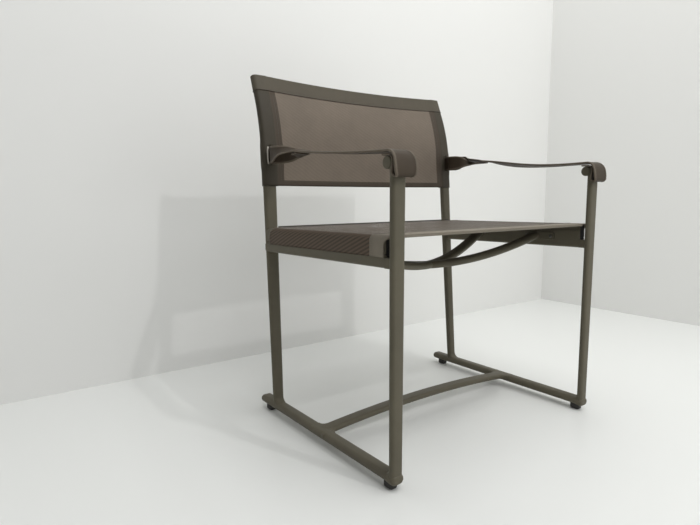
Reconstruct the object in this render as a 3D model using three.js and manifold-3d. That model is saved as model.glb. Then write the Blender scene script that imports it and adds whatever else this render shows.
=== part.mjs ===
// A sling patio chair: two side frames of flat-oval bar, a fabric seat and back stretched between
// them, crossed braces under the seat, a floor stretcher and soft strap arms.
// Millimetres, +Z up. The sitter faces -Y, so left is +X. The origin is under the middle of the chair.
import * as THREE from 'three';
import { mergeVertices } from 'three/addons/utils/BufferGeometryUtils.js';
import Module from 'manifold-3d';

const wasm = await Module();
wasm.setup();

// Plan of the side frames
const frameHalfWidth = 293.2;
const frontLegY = -239;
const uprightFootY = 175.5;
const uprightToeIn = 10;
const toeInHeight = 750;

// Bars of the side frames
const legWidth = 29.8;
const legFootWidth = 25.6;
const legThickness = 13;
const uprightWidth = 31.6;
const uprightFootWidth = 25;
const uprightThickness = 14.5;
const runnerWidth = 28.2;
const runnerHeight = 13.9;
const runnerCentreZ = 23.1;
const runnerNoseReach = 8.6;
const runnerTailReach = 63;
const toeLength = 24;
const toeDrop = 5.2;
const legTopCorner = 9;
const legCrownDrop = 3;
const frontFootBend = 16;
const rearFootBend = 22;

// Heights of the seat and of the arms, which everything above the floor follows
const railBottomZ = 384;
const pegRise = 176.5;
const strapLoopRise = 38;
const pegCentreZ = railBottomZ + pegRise;
const strapLoopZ = pegCentreZ + strapLoopRise;

// Line of the rear uprights
const uprightFullRise = 116;
const uprightBendRise = 6;
const uprightTopRise = 179.5;
const uprightRake = THREE.MathUtils.degToRad(3.8);
const uprightTopLean = THREE.MathUtils.degToRad(21.5);
const uprightBendRadius = 430;
const uprightFullZ = railBottomZ + uprightFullRise;
const uprightBendZ = strapLoopZ + uprightBendRise;
const uprightTopZ = strapLoopZ + uprightTopRise;

// Floor stretcher
const stretcherY = -9;
const stretcherWidth = 30.5;
const stretcherHeight = 13;
const stretcherRise = 14.2;
const stretcherBend = 27;

// Foot glides
const glideLength = 23;
const glideWidth = 18;
const glideCorner = 6;
const glideEdge = 4;
const frontGlideSetback = 13;
const rearGlideReach = 34.5;
const frontGlideY = frontLegY + frontGlideSetback;
const rearGlideY = uprightFootY + rearGlideReach;

// Seat rails, measured in a frame that tips back with the seat
const railWidth = 24;
const railBarHeight = 18;
const railInnerHeight = 39;
const railHeight = 53.3;
const railStep = 2.3;
const railCorner = 6;
const railTopCorner = 8;
const railPitch = THREE.MathUtils.degToRad(0.75);
const railFillet = 6;

// Spline rods that hold the seat fabric in the rails
const splineDiameter = 4;
const splineHeight = 23;
const splineInset = 2.4;

// Seat fabric
const seatSkin = 1.6;
const seatField = 2;
const seatHemWidth = 37;
const seatHemLip = 5.6;
const seatEndGap = 14;
const seatFrontGap = 2;
const seatRearBand = 15;
const seatRearReach = 6;
const seatRearCorner = 24;
const seatFrontCorner = 12;
const hemProud = 0.5;

// Crossed braces under the seat
const braceWidth = 28;
const braceThickness = 16.5;
const braceFrontY = -105;
const braceRearY = 71;
const braceEndRise = 25.8;
const braceDip = 60.9;
const braceEndZ = railBottomZ + braceEndRise;
const braceLowZ = braceEndZ - braceDip;
const braceBow = 1.92;
const plateReach = 52;
const plateShortReach = 30;
const plateHeight = 18;
const plateThickness = 3;
const plateCorner = 4;
const plateScrewInset = 8;
const screwDiameter = 5;
const screwHeadDiameter = 8.4;
const screwHeadHeight = 2.4;
const screwReach = 12;

// Arm pegs on the front legs
const pegDiameter = 21;
const pegLength = 32;
const pegEdge = 1.2;
const pegSetback = 9;
const pegCentreY = frontLegY + pegSetback;

// Arm straps
const strapWidth = 40;
const strapThickness = 4.2;
const strapLoopThickness = 3;
const strapLoopWidth = 38;
const strapEdge = 0.9;
const strapTailThickness = 3;
const strapFlapWidth = 46;
const strapFlapCorner = 9;
const strapFlapDrop = 24.5;
const strapTopRise = 21.3;
const strapTailReach = 17;
const drapeSetback = 4.5;
const drapeRadius = 21;
const drapeTurn = THREE.MathUtils.degToRad(75);
const drapeEndRadius = 80;
const drapeEndTurn = THREE.MathUtils.degToRad(86);
const strapRiseOver = 0.2;
const strapJoinReach = 115.5;
const strapTwistSetback = 2.5;
const strapClimbPower = 1.6;
const strapSagPower = 1.2;
const strapTiltPower = 2.5;
const leftStrapSag = 6.2;
const leftStrapTilt = 4.4;
const rightStrapSag = 0.4;
const rightStrapTilt = 0.8;
const strapFlapZ = pegCentreZ - strapFlapDrop;
const strapTopZ = pegCentreZ + strapTopRise;
const strapRiseZ = strapLoopZ + strapRiseOver;
const strapTailY = frontLegY + strapTailReach;
const drapeY = frontLegY + drapeSetback;
const strapJoinY = uprightFootY - strapJoinReach;
const strapTwistY = uprightFootY + strapTwistSetback;

// Back fabric
const backDrop = 68;
const backTopCover = 3.5;
const backBandHeight = 35.5;
const backBottomZ = strapLoopZ - backDrop;
const backTopZ = uprightTopZ + backTopCover;
const backBandZ = backTopZ - backBandHeight;
const backSkin = 1.4;
const backEase = 0.6;
const backField = 1.8;
const backSeamInset = 28.2;
const backSeamX = frameHalfWidth - backSeamInset;
const backBow = 12;
const backFront = 7;
const backBandProud = 0.5;
const slitEdge = 2.4;

// Clearances and counts
const gap = 0.3;
const cutOver = 6;
const arcSteps = 6;
const bendSteps = 5;
const panelSteps = 10;
const pegSides = 28;
const screwSides = 16;

const X = new THREE.Vector3(1, 0, 0);
const Y = new THREE.Vector3(0, 1, 0);
const Z = new THREE.Vector3(0, 0, 1);
const v3 = (x, y, z) => new THREE.Vector3(x, y, z);
const { lerp, clamp, smoothstep } = THREE.MathUtils;

// Outlines

// A bar's section: two half circles joined by flats, anticlockwise.
function flatOval(width, thickness, grow = 0) {
  const radius = thickness / 2 + grow;
  const reach = (width - thickness) / 2;
  const points = [];
  for (const side of [1, -1]) {
    for (let step = 0; step <= arcSteps; step++) {
      const angle = (step / arcSteps - 1 / 2) * Math.PI;
      const x = reach + radius * Math.cos(angle);
      points.push(new THREE.Vector2(side * x, side * radius * Math.sin(angle)));
    }
  }
  return points;
}

// A rectangle with its corners cut, anticlockwise.
function cutRectangle(width, height, corner) {
  const a = width / 2;
  const b = height / 2;
  const list = [[a - corner, -b], [a, corner - b], [a, b - corner], [a - corner, b]];
  const other = list.map(([x, y]) => [-x, -y]);
  return [...list, ...other].map(([x, y]) => new THREE.Vector2(x, y));
}

// A rectangle with round corners.
function roundShape(width, height, radius) {
  const a = width / 2 - radius;
  const b = height / 2 - radius;
  const shape = new THREE.Shape();
  shape.absarc(a, b, radius, 0, Math.PI / 2);
  shape.absarc(-a, b, radius, Math.PI / 2, Math.PI);
  shape.absarc(-a, -b, radius, Math.PI, 3 * Math.PI / 2);
  shape.absarc(a, -b, radius, 3 * Math.PI / 2, 2 * Math.PI);
  return shape;
}

// Solids

function solidOf(geometry) {
  const bare = geometry.clone();
  bare.deleteAttribute('normal');
  bare.deleteAttribute('uv');
  const merged = mergeVertices(bare);
  return new wasm.Manifold(new wasm.Mesh({
    numProp: 3,
    vertProperties: new Float32Array(merged.attributes.position.array),
    triVerts: new Uint32Array(merged.index.array),
  }));
}

function geometryOf(solid) {
  const { vertProperties, triVerts } = solid.getMesh();
  const geometry = new THREE.BufferGeometry();
  geometry.setAttribute('position', new THREE.BufferAttribute(vertProperties, 3));
  geometry.setIndex(new THREE.BufferAttribute(triVerts, 1));
  geometry.computeVertexNormals();
  return geometry;
}

// Skins a closed solid over rings of points. A station has its middle, its two directions and its
// section; the sections all have the same number of points.
function loft(stations) {
  const points = [];
  const faces = [];
  const count = stations[0].section.length;
  for (const { at, across, through, section } of stations) {
    for (const { x, y } of section) {
      points.push(at.clone().addScaledVector(across, x).addScaledVector(through, y));
    }
  }
  for (let ring = 0; ring + 1 < stations.length; ring++) {
    for (let k = 0; k < count; k++) {
      const a = ring * count + k;
      const b = ring * count + (k + 1) % count;
      faces.push([a, b, b + count], [a, b + count, a + count]);
    }
  }
  const last = (stations.length - 1) * count;
  for (const [a, b, c] of THREE.ShapeUtils.triangulateShape(stations[0].section, [])) {
    faces.push([c, b, a]);
  }
  for (const [a, b, c] of THREE.ShapeUtils.triangulateShape(stations.at(-1).section, [])) {
    faces.push([a + last, b + last, c + last]);
  }
  const { across, through } = stations[0];
  const travel = stations[1].at.clone().sub(stations[0].at);
  const inward = travel.dot(across.clone().cross(through)) < 0;
  const geometry = new THREE.BufferGeometry().setFromPoints(points);
  geometry.setIndex(faces.flatMap(([a, b, c]) => (inward ? [a, c, b] : [a, b, c])));
  return solidOf(geometry);
}

// Stations of one section along a line of points, its width lying along the side direction.
function stationsAlong(points, section, side) {
  return points.map((at, k) => {
    const before = points[Math.max(k - 1, 0)];
    const after = points[Math.min(k + 1, points.length - 1)];
    const tangent = after.clone().sub(before).normalize();
    const across = side.clone().addScaledVector(tangent, -side.dot(tangent)).normalize();
    return { at, across, through: tangent.clone().cross(across), section };
  });
}

const bar = (points, width, thickness, side, grow = 0) => (
  loft(stationsAlong(points, flatOval(width, thickness, grow), side)));

// A bar that keeps its width level all along a line of points.
function flatBar(points, width, thickness, grow = 0) {
  const section = flatOval(width, thickness, grow);
  return loft(points.map((at, k) => {
    const before = points[Math.max(k - 1, 0)];
    const after = points[Math.min(k + 1, points.length - 1)];
    const tangent = after.clone().sub(before).normalize();
    const across = Z.clone().cross(tangent).normalize();
    return { at, across, through: tangent.clone().cross(across), section };
  }));
}

// An upright bar that widens from its foot up to a height and keeps that width above.
function taperedBar(points, footWidth, width, fullZ, thickness, grow) {
  const stations = stationsAlong(points, [], X);
  for (const station of stations) {
    const share = clamp((station.at.z - runnerCentreZ) / (fullZ - runnerCentreZ), 0, 1);
    station.section = flatOval(lerp(footWidth, width, share), thickness, grow);
  }
  return loft(stations);
}

// An outline drawn in x and z, pushed from one y to another.
function extrudeY(shape, from, to) {
  const geometry = new THREE.ExtrudeGeometry(shape, { depth: to - from, bevelEnabled: false,
    curveSegments: arcSteps });
  return solidOf(geometry.rotateX(Math.PI / 2).translate(0, to, 0));
}

// An outline drawn in y and z, pushed from one x to another.
function extrudeX(shape, from, to) {
  const geometry = new THREE.ExtrudeGeometry(shape, { depth: to - from, bevelEnabled: false,
    curveSegments: arcSteps });
  return solidOf(geometry.rotateY(Math.PI / 2).rotateX(Math.PI / 2).translate(from, 0, 0));
}

function block(x0, x1, y0, y1, z0, z1) {
  const box = new THREE.BoxGeometry(x1 - x0, y1 - y0, z1 - z0);
  return solidOf(box.translate((x0 + x1) / 2, (y0 + y1) / 2, (z0 + z1) / 2));
}

// A turned piece along X: pairs of radius and place along the axis.
function turned(profile, sides) {
  const points = profile.map(([radius, along]) => new THREE.Vector2(radius, along));
  return solidOf(new THREE.LatheGeometry(points, sides).rotateZ(-Math.PI / 2));
}

// Line of the rear upright

const bendTopZ = uprightBendZ + uprightBendRadius * (Math.sin(uprightTopLean) - Math.sin(uprightRake));

// Place and lean of the left upright's middle line at a height.
function uprightAt(z) {
  const x = frameHalfWidth - uprightToeIn * clamp((z - runnerCentreZ) / toeInHeight, 0, 1);
  const straight = Math.min(z, uprightBendZ) - runnerCentreZ;
  let y = uprightFootY + straight * Math.tan(uprightRake);
  let lean = uprightRake;
  if (z > uprightBendZ) {
    const inBend = Math.min(z, bendTopZ) - uprightBendZ;
    lean = Math.asin(Math.sin(uprightRake) + inBend / uprightBendRadius);
    y += uprightBendRadius * (Math.cos(uprightRake) - Math.cos(lean));
    y += Math.max(z - bendTopZ, 0) * Math.tan(uprightTopLean);
  }
  return { at: v3(x, y, z), lean };
}

function uprightLine(bottom, top) {
  const stops = [bottom, uprightFullZ, uprightBendZ];
  for (let step = 1; step <= bendSteps; step++) {
    stops.push(lerp(uprightBendZ, bendTopZ, step / bendSteps));
  }
  const inside = stops.filter((z) => z >= bottom && z < top);
  return [...inside.sort((a, b) => a - b), top].map((z) => uprightAt(z).at);
}

// A quarter bend that leads a bar down into the runner, from the foot of a leg line.
function footBend(x, lineY, rake, radius, direction, startZ) {
  const turnZ = runnerCentreZ + radius - radius * Math.sin(rake);
  const centreY = lineY(turnZ) + direction * radius * Math.cos(rake);
  const points = [v3(x, lineY(startZ), startZ)];
  for (let step = 0; step <= bendSteps; step++) {
    const angle = lerp(rake, Math.PI / 2, step / bendSteps);
    points.push(v3(x, centreY - direction * radius * Math.cos(angle),
      runnerCentreZ + radius - radius * Math.sin(angle)));
  }
  points.push(v3(x, centreY + direction * radius, runnerCentreZ));
  return points;
}

// Side frames

const runnerNoseY = frontLegY - runnerNoseReach;
const runnerTailY = uprightFootY + runnerTailReach;

// The runner, its ends rounded and its front end deepened into a toe.
function runnerSolid(grow = 0) {
  const stations = [];
  const place = (y, drop, inset) => stations.push({ at: v3(frameHalfWidth, y, runnerCentreZ - drop / 2),
    across: X, through: Z,
    section: flatOval(runnerWidth - 2 * inset, runnerHeight + drop - 2 * inset, grow) });
  const round = runnerHeight / 2 - strapEdge;
  for (let step = 0; step <= bendSteps; step++) {
    const angle = (step / bendSteps) * Math.PI / 2;
    place(runnerNoseY + round * (1 - Math.cos(angle)) - grow, toeDrop, round * (1 - Math.sin(angle)));
  }
  place(runnerNoseY + toeLength / 2, toeDrop, 0);
  place(runnerNoseY + toeLength, 0, 0);
  for (let step = bendSteps; step >= 0; step--) {
    const angle = (step / bendSteps) * Math.PI / 2;
    place(runnerTailY - round * (1 - Math.cos(angle)) + grow, 0, round * (1 - Math.sin(angle)));
  }
  return loft(stations);
}

const legTopZ = pegCentreZ + pegDiameter / 2;
const legLine = () => frontLegY;

function frontLegSolid(grow = 0) {
  const bottom = v3(frameHalfWidth, frontLegY, runnerCentreZ);
  const top = v3(frameHalfWidth, frontLegY, legTopZ);
  return taperedBar([bottom, top], legFootWidth, legWidth, legTopZ, legThickness, grow);
}

// Side view of a leg whose top front corner is rounded for the strap.
function legSide() {
  const front = frontLegY - legThickness;
  const rear = frontLegY + 2 * frontFootBend + cutOver;
  const centreY = frontLegY - legThickness / 2 + legTopCorner;
  const crownZ = legTopZ - legCrownDrop;
  const shape = new THREE.Shape();
  shape.moveTo(front, 0);
  shape.lineTo(rear, 0);
  shape.lineTo(rear, crownZ);
  shape.absarc(centreY, crownZ - legTopCorner, legTopCorner, Math.PI / 2, Math.PI);
  shape.lineTo(front, crownZ - legTopCorner);
  return extrudeX(shape, frameHalfWidth - legWidth, frameHalfWidth + legWidth);
}

function pegCutter() {
  const radius = pegDiameter / 2 + gap;
  const reach = legWidth;
  return turned([[0, -reach], [radius, -reach], [radius, reach], [0, reach]], pegSides)
    .translate(frameHalfWidth, pegCentreY, pegCentreZ);
}

function frontLeg() {
  const bend = footBend(frameHalfWidth, legLine, 0, frontFootBend, 1, runnerCentreZ + 3 * frontFootBend);
  return frontLegSolid()
    .add(bar(bend, legFootWidth, legThickness, X))
    .intersect(legSide())
    .subtract(runnerSolid(gap))
    .subtract(pegCutter());
}

function uprightSolid(grow = 0) {
  return taperedBar(uprightLine(runnerCentreZ, uprightTopZ), uprightFootWidth, uprightWidth,
    uprightFullZ, uprightThickness, grow);
}

function rearUpright() {
  const lineY = (z) => uprightAt(z).at.y;
  const bend = footBend(frameHalfWidth, lineY, uprightRake, rearFootBend, -1,
    runnerCentreZ + 3 * rearFootBend);
  return uprightSolid()
    .add(bar(bend, uprightFootWidth, uprightThickness, X))
    .subtract(runnerSolid(gap));
}

function armPeg() {
  const radius = pegDiameter / 2;
  const reach = pegLength / 2;
  const profile = [[0, -reach], [radius - pegEdge, -reach], [radius, pegEdge - reach]];
  const other = profile.map(([r, along]) => [r, -along]).reverse();
  return turned([...profile, ...other], pegSides).translate(frameHalfWidth, pegCentreY, pegCentreZ);
}

// Floor stretcher

function stretcher() {
  const arch = (x) => runnerCentreZ + stretcherRise * (1 - (x / frameHalfWidth) ** 2);
  const points = [];
  const steps = 2 * panelSteps;
  for (let step = 0; step <= steps; step++) {
    const x = lerp(-frameHalfWidth, frameHalfWidth, step / steps);
    points.push(v3(x, stretcherY, arch(x)));
  }
  let solid = bar(points, stretcherWidth, stretcherHeight, Y);
  for (const [side, turnTo] of [[1, 1], [1, -1], [-1, 1], [-1, -1]]) {
    const startX = frameHalfWidth - 2 * stretcherBend;
    const turn = [v3(side * startX, stretcherY, arch(startX))];
    for (let step = 0; step <= bendSteps; step++) {
      const angle = (step / bendSteps) * Math.PI / 2;
      const x = frameHalfWidth - stretcherBend * (1 - Math.sin(angle));
      const y = stretcherY + turnTo * stretcherBend * (1 - Math.cos(angle));
      turn.push(v3(side * x, y, arch(x)));
    }
    solid = solid.add(flatBar(turn, stretcherWidth, stretcherHeight));
  }
  const runner = runnerSolid(gap);
  return solid.subtract(runner)
    .subtract(runner.mirror([1, 0, 0]))
    .intersect(block(-frameHalfWidth, frameHalfWidth, frontLegY, uprightFootY, 0, railBottomZ));
}

// Foot glides

function glide(y) {
  const shape = roundShape(glideWidth, glideLength, glideCorner);
  const foot = new THREE.ExtrudeGeometry(shape, { depth: runnerCentreZ - glideEdge,
    bevelThickness: glideEdge, bevelSize: glideEdge, bevelOffset: -glideEdge, bevelSegments: 2,
    curveSegments: arcSteps });
  return solidOf(foot.translate(frameHalfWidth, y, glideEdge)).subtract(runnerSolid(gap));
}

// Seat rails, drawn level and then tipped back about the middle of the chair

const tip = (solid) => solid
  .rotate([-THREE.MathUtils.radToDeg(railPitch), 0, 0])
  .translate(0, 0, railBottomZ);
const railFrontY = frontLegY;
const railRearY = uprightAt(railBottomZ + railBarHeight).at.y;

function railShape() {
  const half = railWidth / 2;
  const shape = new THREE.Shape();
  shape.absarc(half - railCorner, railCorner, railCorner, -Math.PI / 2, 0);
  shape.lineTo(half, railBarHeight);
  shape.lineTo(half - railStep, railBarHeight);
  const top = half - railStep - railTopCorner;
  shape.absarc(top, railHeight - railTopCorner, railTopCorner, 0, Math.PI / 2);
  shape.absarc(-top, railHeight - railTopCorner, railTopCorner, Math.PI / 2, Math.PI);
  shape.lineTo(railStep - half, railInnerHeight);
  shape.lineTo(-half, railInnerHeight);
  shape.absarc(railCorner - half, railCorner, railCorner, Math.PI, 3 * Math.PI / 2);
  return shape;
}

// The concave corner under the rail where it meets a leg.
function railCornerFillet(y, direction) {
  const reach = railFillet + legThickness / 2;
  const shape = new THREE.Shape();
  shape.moveTo(y, railCorner);
  shape.lineTo(y, -railFillet);
  shape.lineTo(y + direction * (reach - railFillet), -railFillet);
  const centre = y + direction * reach;
  shape.absarc(centre, -railFillet, railFillet, direction > 0 ? Math.PI : 0, Math.PI / 2, direction > 0);
  shape.lineTo(centre, railCorner);
  return extrudeX(shape, frameHalfWidth - railWidth / 2 + railCorner,
    frameHalfWidth + railWidth / 2 - railCorner);
}

const splinePlace = [frameHalfWidth + railWidth / 2 - railStep - splineInset, splineHeight];

function splineRod(diameter, from, to) {
  const shape = new THREE.Shape();
  shape.absarc(splinePlace[0], splinePlace[1], diameter / 2, 0, 2 * Math.PI);
  return extrudeY(shape, from, to);
}

// The plates at the ends of the braces reach further towards the ends of the rails.
function plateEnds(endY) {
  const outward = endY > braceFrontY ? 1 : -1;
  return [endY - outward * plateShortReach, endY + outward * plateReach].sort((a, b) => a - b);
}

function plateScrewPlaces() {
  return [braceFrontY, braceRearY].flatMap((endY) => {
    const [from, to] = plateEnds(endY);
    return [from + plateScrewInset, to - plateScrewInset].map((y) => v3(0, y, braceEndZ));
  });
}

const railInnerX = frameHalfWidth - railWidth / 2;

function screwHole(place) {
  const radius = screwDiameter / 2 + gap;
  const profile = [[0, -cutOver], [radius, -cutOver], [radius, screwReach + gap], [0, screwReach + gap]];
  return turned(profile, screwSides).translate(railInnerX, place.y, place.z);
}

function seatRail() {
  const grooveX = splinePlace[0];
  let rail = extrudeY(railShape(), railFrontY, railRearY)
    .translate(frameHalfWidth, 0, 0)
    .add(railCornerFillet(railFrontY, 1))
    .add(railCornerFillet(railRearY, -1))
    .subtract(splineRod(splineDiameter + 2 * gap, railFrontY - cutOver, railRearY + cutOver))
    .subtract(block(grooveX, grooveX + cutOver, railFrontY - cutOver, railRearY + cutOver,
      splineHeight - splineDiameter / 4, splineHeight + splineDiameter / 4));
  rail = tip(rail).subtract(frontLegSolid(gap)).subtract(uprightSolid(gap));
  for (const place of plateScrewPlaces()) {
    rail = rail.subtract(screwHole(place));
  }
  return rail;
}

// Seat fabric: a skin over both rails with a flat field between them

const seatFrontY = frontLegY + legThickness / 2 + seatEndGap;
const seatLipY = frontLegY + legThickness / 2 + seatFrontGap;
const seatHemY = seatFrontY + seatHemWidth;
const seatRearY = uprightAt(railBottomZ + railHeight).at.y - uprightThickness / 2 - seatEndGap;
const seatTop = railHeight + gap + seatSkin;
const seatFieldHalf = frameHalfWidth - railWidth / 2 - gap - seatSkin;

function skinShape(proud) {
  const half = railWidth / 2 - railStep + gap;
  const outer = half + seatSkin + proud;
  const inner = half;
  const low = railBarHeight + gap;
  const innerLow = railInnerHeight + gap;
  const radius = railTopCorner + gap + seatSkin + proud;
  const top = seatTop + proud;
  const c = frameHalfWidth;
  const shape = new THREE.Shape();
  shape.moveTo(c + inner, low);
  shape.lineTo(c + outer, low);
  shape.absarc(c + outer - radius, top - radius, radius, 0, Math.PI / 2);
  shape.absarc(radius - outer - c, top - radius, radius, Math.PI / 2, Math.PI);
  shape.lineTo(-c - outer, low);
  shape.lineTo(-c - inner, low);
  const under = railTopCorner + gap;
  const ceiling = railHeight + gap;
  shape.absarc(under - inner - c, ceiling - under, under, Math.PI, Math.PI / 2, true);
  shape.absarc(inner - under - c, ceiling - under, under, Math.PI / 2, 0, true);
  shape.lineTo(inner - c, innerLow);
  shape.lineTo(outer - c, innerLow);
  shape.lineTo(outer - c, seatTop - seatField);
  shape.lineTo(c - outer, seatTop - seatField);
  shape.lineTo(c - outer, innerLow);
  shape.lineTo(c - inner, innerLow);
  shape.absarc(c + under - inner, ceiling - under, under, Math.PI, Math.PI / 2, true);
  shape.absarc(c + inner - under, ceiling - under, under, Math.PI / 2, 0, true);
  return shape;
}

// Side view of the fabric over a rail, with its rear top corner rounded off.
function skinSide() {
  const shape = new THREE.Shape();
  const top = seatTop + cutOver;
  shape.moveTo(seatFrontY, -cutOver);
  shape.lineTo(seatRearY, -cutOver);
  shape.absarc(seatRearY - seatRearCorner, seatTop - seatRearCorner, seatRearCorner, 0, Math.PI / 2);
  shape.lineTo(seatRearY - seatRearCorner, top);
  shape.lineTo(seatFrontY, top);
  return shape;
}

function seatSling() {
  const reach = frameHalfWidth + railWidth;
  const skin = extrudeY(skinShape(0), seatHemY + gap, seatRearY + cutOver)
    .intersect(extrudeX(skinSide(), -reach, reach));
  const field = block(-seatFieldHalf, seatFieldHalf, seatHemY + gap, seatRearY + seatRearReach
    - seatRearBand, seatTop - seatField, seatTop);
  return tip(skin.add(field));
}

function lipShape() {
  const round = seatHemLip / 2;
  const shape = new THREE.Shape();
  shape.moveTo(seatHemY, seatTop + hemProud);
  shape.lineTo(seatLipY + round, seatTop + hemProud);
  shape.absarc(seatLipY + round, seatTop + hemProud - round, round, Math.PI / 2, 3 * Math.PI / 2);
  shape.lineTo(seatHemY, seatTop + hemProud - seatHemLip);
  return shape;
}

// Side view of the hem's end over a rail: it curves forward under the lip.
function hemSide() {
  const shape = new THREE.Shape();
  const top = seatTop + cutOver;
  const bottomOfLip = seatTop - seatHemLip;
  shape.moveTo(seatHemY + cutOver, -cutOver);
  shape.lineTo(seatHemY + cutOver, top);
  shape.lineTo(seatLipY, top);
  shape.lineTo(seatLipY, bottomOfLip);
  shape.absarc(seatLipY, bottomOfLip - seatFrontCorner, seatFrontCorner, Math.PI / 2, 0, true);
  shape.lineTo(seatFrontY, -cutOver);
  return shape;
}

function seatFrontHem() {
  const reach = frameHalfWidth + railWidth;
  const lipHalf = frameHalfWidth - legWidth / 2;
  const skin = extrudeY(skinShape(hemProud), seatLipY, seatHemY)
    .intersect(extrudeX(hemSide(), -reach, reach));
  return tip(skin.add(extrudeX(lipShape(), -lipHalf, lipHalf)))
    .subtract(frontLegSolid(gap))
    .subtract(frontLegSolid(gap).mirror([1, 0, 0]))
    .subtract(seatRail())
    .subtract(seatRail().mirror([1, 0, 0]));
}

function seatRearHem() {
  const from = seatRearY + seatRearReach - seatRearBand + gap;
  const to = seatRearY + seatRearReach;
  return tip(block(-seatFieldHalf + seatSkin, seatFieldHalf - seatSkin, from, to,
    seatTop - seatField - hemProud, seatTop + hemProud));
}

// Crossed braces

const plateInnerX = railInnerX - gap - plateThickness;

// Runs from one front corner to the far rear corner, dipping in the middle.
function braceLine(slant, from, to, steps) {
  const middleY = (braceFrontY + braceRearY) / 2;
  const halfY = (braceRearY - braceFrontY) / 2;
  const points = [];
  for (let step = 0; step <= steps; step++) {
    const share = lerp(from, to, step / steps);
    const z = braceLowZ + (braceEndZ - braceLowZ) * Math.abs(share) ** braceBow;
    points.push(v3(share * railInnerX, middleY - slant * share * halfY, z));
  }
  return points;
}

function braceBar(slant, grow = 0) {
  const line = braceLine(slant, -1, 1, 2 * panelSteps);
  const reach = plateInnerX - gap;
  return flatBar(line, braceWidth, braceThickness, grow).intersect(block(-reach, reach,
    braceFrontY - plateReach, braceRearY + plateReach, 0, braceEndZ + railHeight));
}

const longBrace = () => braceBar(1);

function shortBrace(side) {
  const half = side > 0
    ? block(0, frameHalfWidth, braceFrontY - plateReach, braceRearY + plateReach, 0, legTopZ)
    : block(-frameHalfWidth, 0, braceFrontY - plateReach, braceRearY + plateReach, 0, legTopZ);
  return braceBar(-1).subtract(braceBar(1, gap)).intersect(half);
}

function bracePlate(endY) {
  const [from, to] = plateEnds(endY);
  const outline = roundShape(to - from, plateHeight, plateCorner).getPoints(arcSteps)
    .map((p) => new THREE.Vector2(p.x + (from + to) / 2, p.y + braceEndZ));
  let plate = extrudeX(new THREE.Shape(outline), plateInnerX, plateInnerX + plateThickness);
  for (const place of plateScrewPlaces()) {
    plate = plate.subtract(screwHole(place));
  }
  return plate;
}

function plateScrew(place) {
  const face = plateInnerX - gap;
  const radius = screwDiameter / 2;
  const head = screwHeadDiameter / 2;
  const profile = [[0, -screwHeadHeight], [head / 2, -screwHeadHeight], [head, -screwHeadHeight / 2],
    [head, 0], [radius, 0], [radius, railInnerX + screwReach - face - gap],
    [0, railInnerX + screwReach - face - gap]];
  return turned(profile, screwSides).translate(face, place.y, place.z);
}

// Back fabric

// Outline of the back in a cut square to the uprights: two pockets and the field between them.
function backOutline(z, grow, swell) {
  const pocketX = uprightAt(z).at.x;
  const half = uprightWidth / 2 + backEase + backSkin + grow + swell;
  const deep = uprightThickness / 2 + backEase + backSkin + grow + swell;
  const side = flatOval(2 * half, 2 * deep).filter(({ x }) => x > 0)
    .map(({ x, y }) => new THREE.Vector2(x + pocketX, y));
  const field = backField / 2 + grow;
  const seamX = backSeamX - swell;
  const middle = (x) => -backFront + backBow * (1 - (x / seamX) ** 2);
  const back = [];
  const front = [];
  for (let step = 0; step <= 2 * panelSteps; step++) {
    const x = lerp(seamX, -seamX, step / (2 * panelSteps));
    back.push(new THREE.Vector2(x, middle(x) + field));
    front.unshift(new THREE.Vector2(x, middle(x) - field));
  }
  const shoulder = pocketX - uprightWidth / 2 + backSkin - swell;
  const other = side.map(({ x, y }) => new THREE.Vector2(-x, y)).reverse();
  return [...side, new THREE.Vector2(shoulder, deep), ...back,
    new THREE.Vector2(-shoulder, deep), ...other, new THREE.Vector2(-shoulder, -deep), ...front,
    new THREE.Vector2(shoulder, -deep)];
}

const strapSwell = strapLoopThickness + 3 * gap;
const swellReach = strapLoopWidth / 2;

// How far the pocket stands off the upright to let the strap pass round inside it.
function swellAt(z) {
  const away = Math.abs(z - strapLoopZ) - swellReach;
  return strapSwell * (1 - smoothstep(away, gap, swellReach));
}

// Heights of the sections of the back between two ends.
function backStops(from, to) {
  const reach = swellReach + gap;
  const loop = [-2, -3 / 2, -1, 1, 3 / 2, 2].map((share) => strapLoopZ + share * reach);
  const bend = [];
  for (let step = 0; step <= bendSteps; step++) {
    bend.push(lerp(uprightBendZ, bendTopZ, step / bendSteps));
  }
  const inside = [...loop, ...bend].filter((z) => z > from + gap && z < to - gap);
  return [from, ...inside.sort((a, b) => a - b), to];
}

function backStations(from, to, sectionAt) {
  return backStops(from, to).map((z) => {
    const { at, lean } = uprightAt(z);
    return { at: v3(0, at.y, z), across: X, section: sectionAt(z),
      through: v3(0, Math.cos(lean), -Math.sin(lean)) };
  });
}

function pocketBore(from, to) {
  const stations = backStations(from, to, (z) => {
    const space = backEase + swellAt(z);
    return flatOval(uprightWidth, uprightThickness, space)
      .map(({ x, y }) => new THREE.Vector2(x + uprightAt(z).at.x, y));
  });
  return loft(stations);
}

// Opening in the front of the pocket where the strap comes out, beside the upright. The outer one
// goes through the side of the pocket too.
function strapSlit(side) {
  const { at } = uprightAt(strapLoopZ);
  const from = uprightWidth / 2 + backEase - gap;
  const to = from + gap + strapSwell + (side > 0 ? backSkin + cutOver : 0);
  const edges = [at.x + side * from, at.x + side * to].sort((a, b) => a - b);
  const reach = strapLoopWidth / 2 + slitEdge;
  return block(edges[0], edges[1], at.y - uprightThickness * 2, at.y, strapLoopZ - reach,
    strapLoopZ + reach);
}

function backSling() {
  let cloth = loft(backStations(backBottomZ, backBandZ, (z) => backOutline(z, 0, swellAt(z))));
  const cuts = [pocketBore(backBottomZ - cutOver, backBandZ + cutOver), strapSlit(1), strapSlit(-1)];
  for (const cut of cuts) {
    cloth = cloth.subtract(cut).subtract(cut.mirror([1, 0, 0]));
  }
  return cloth;
}

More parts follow.
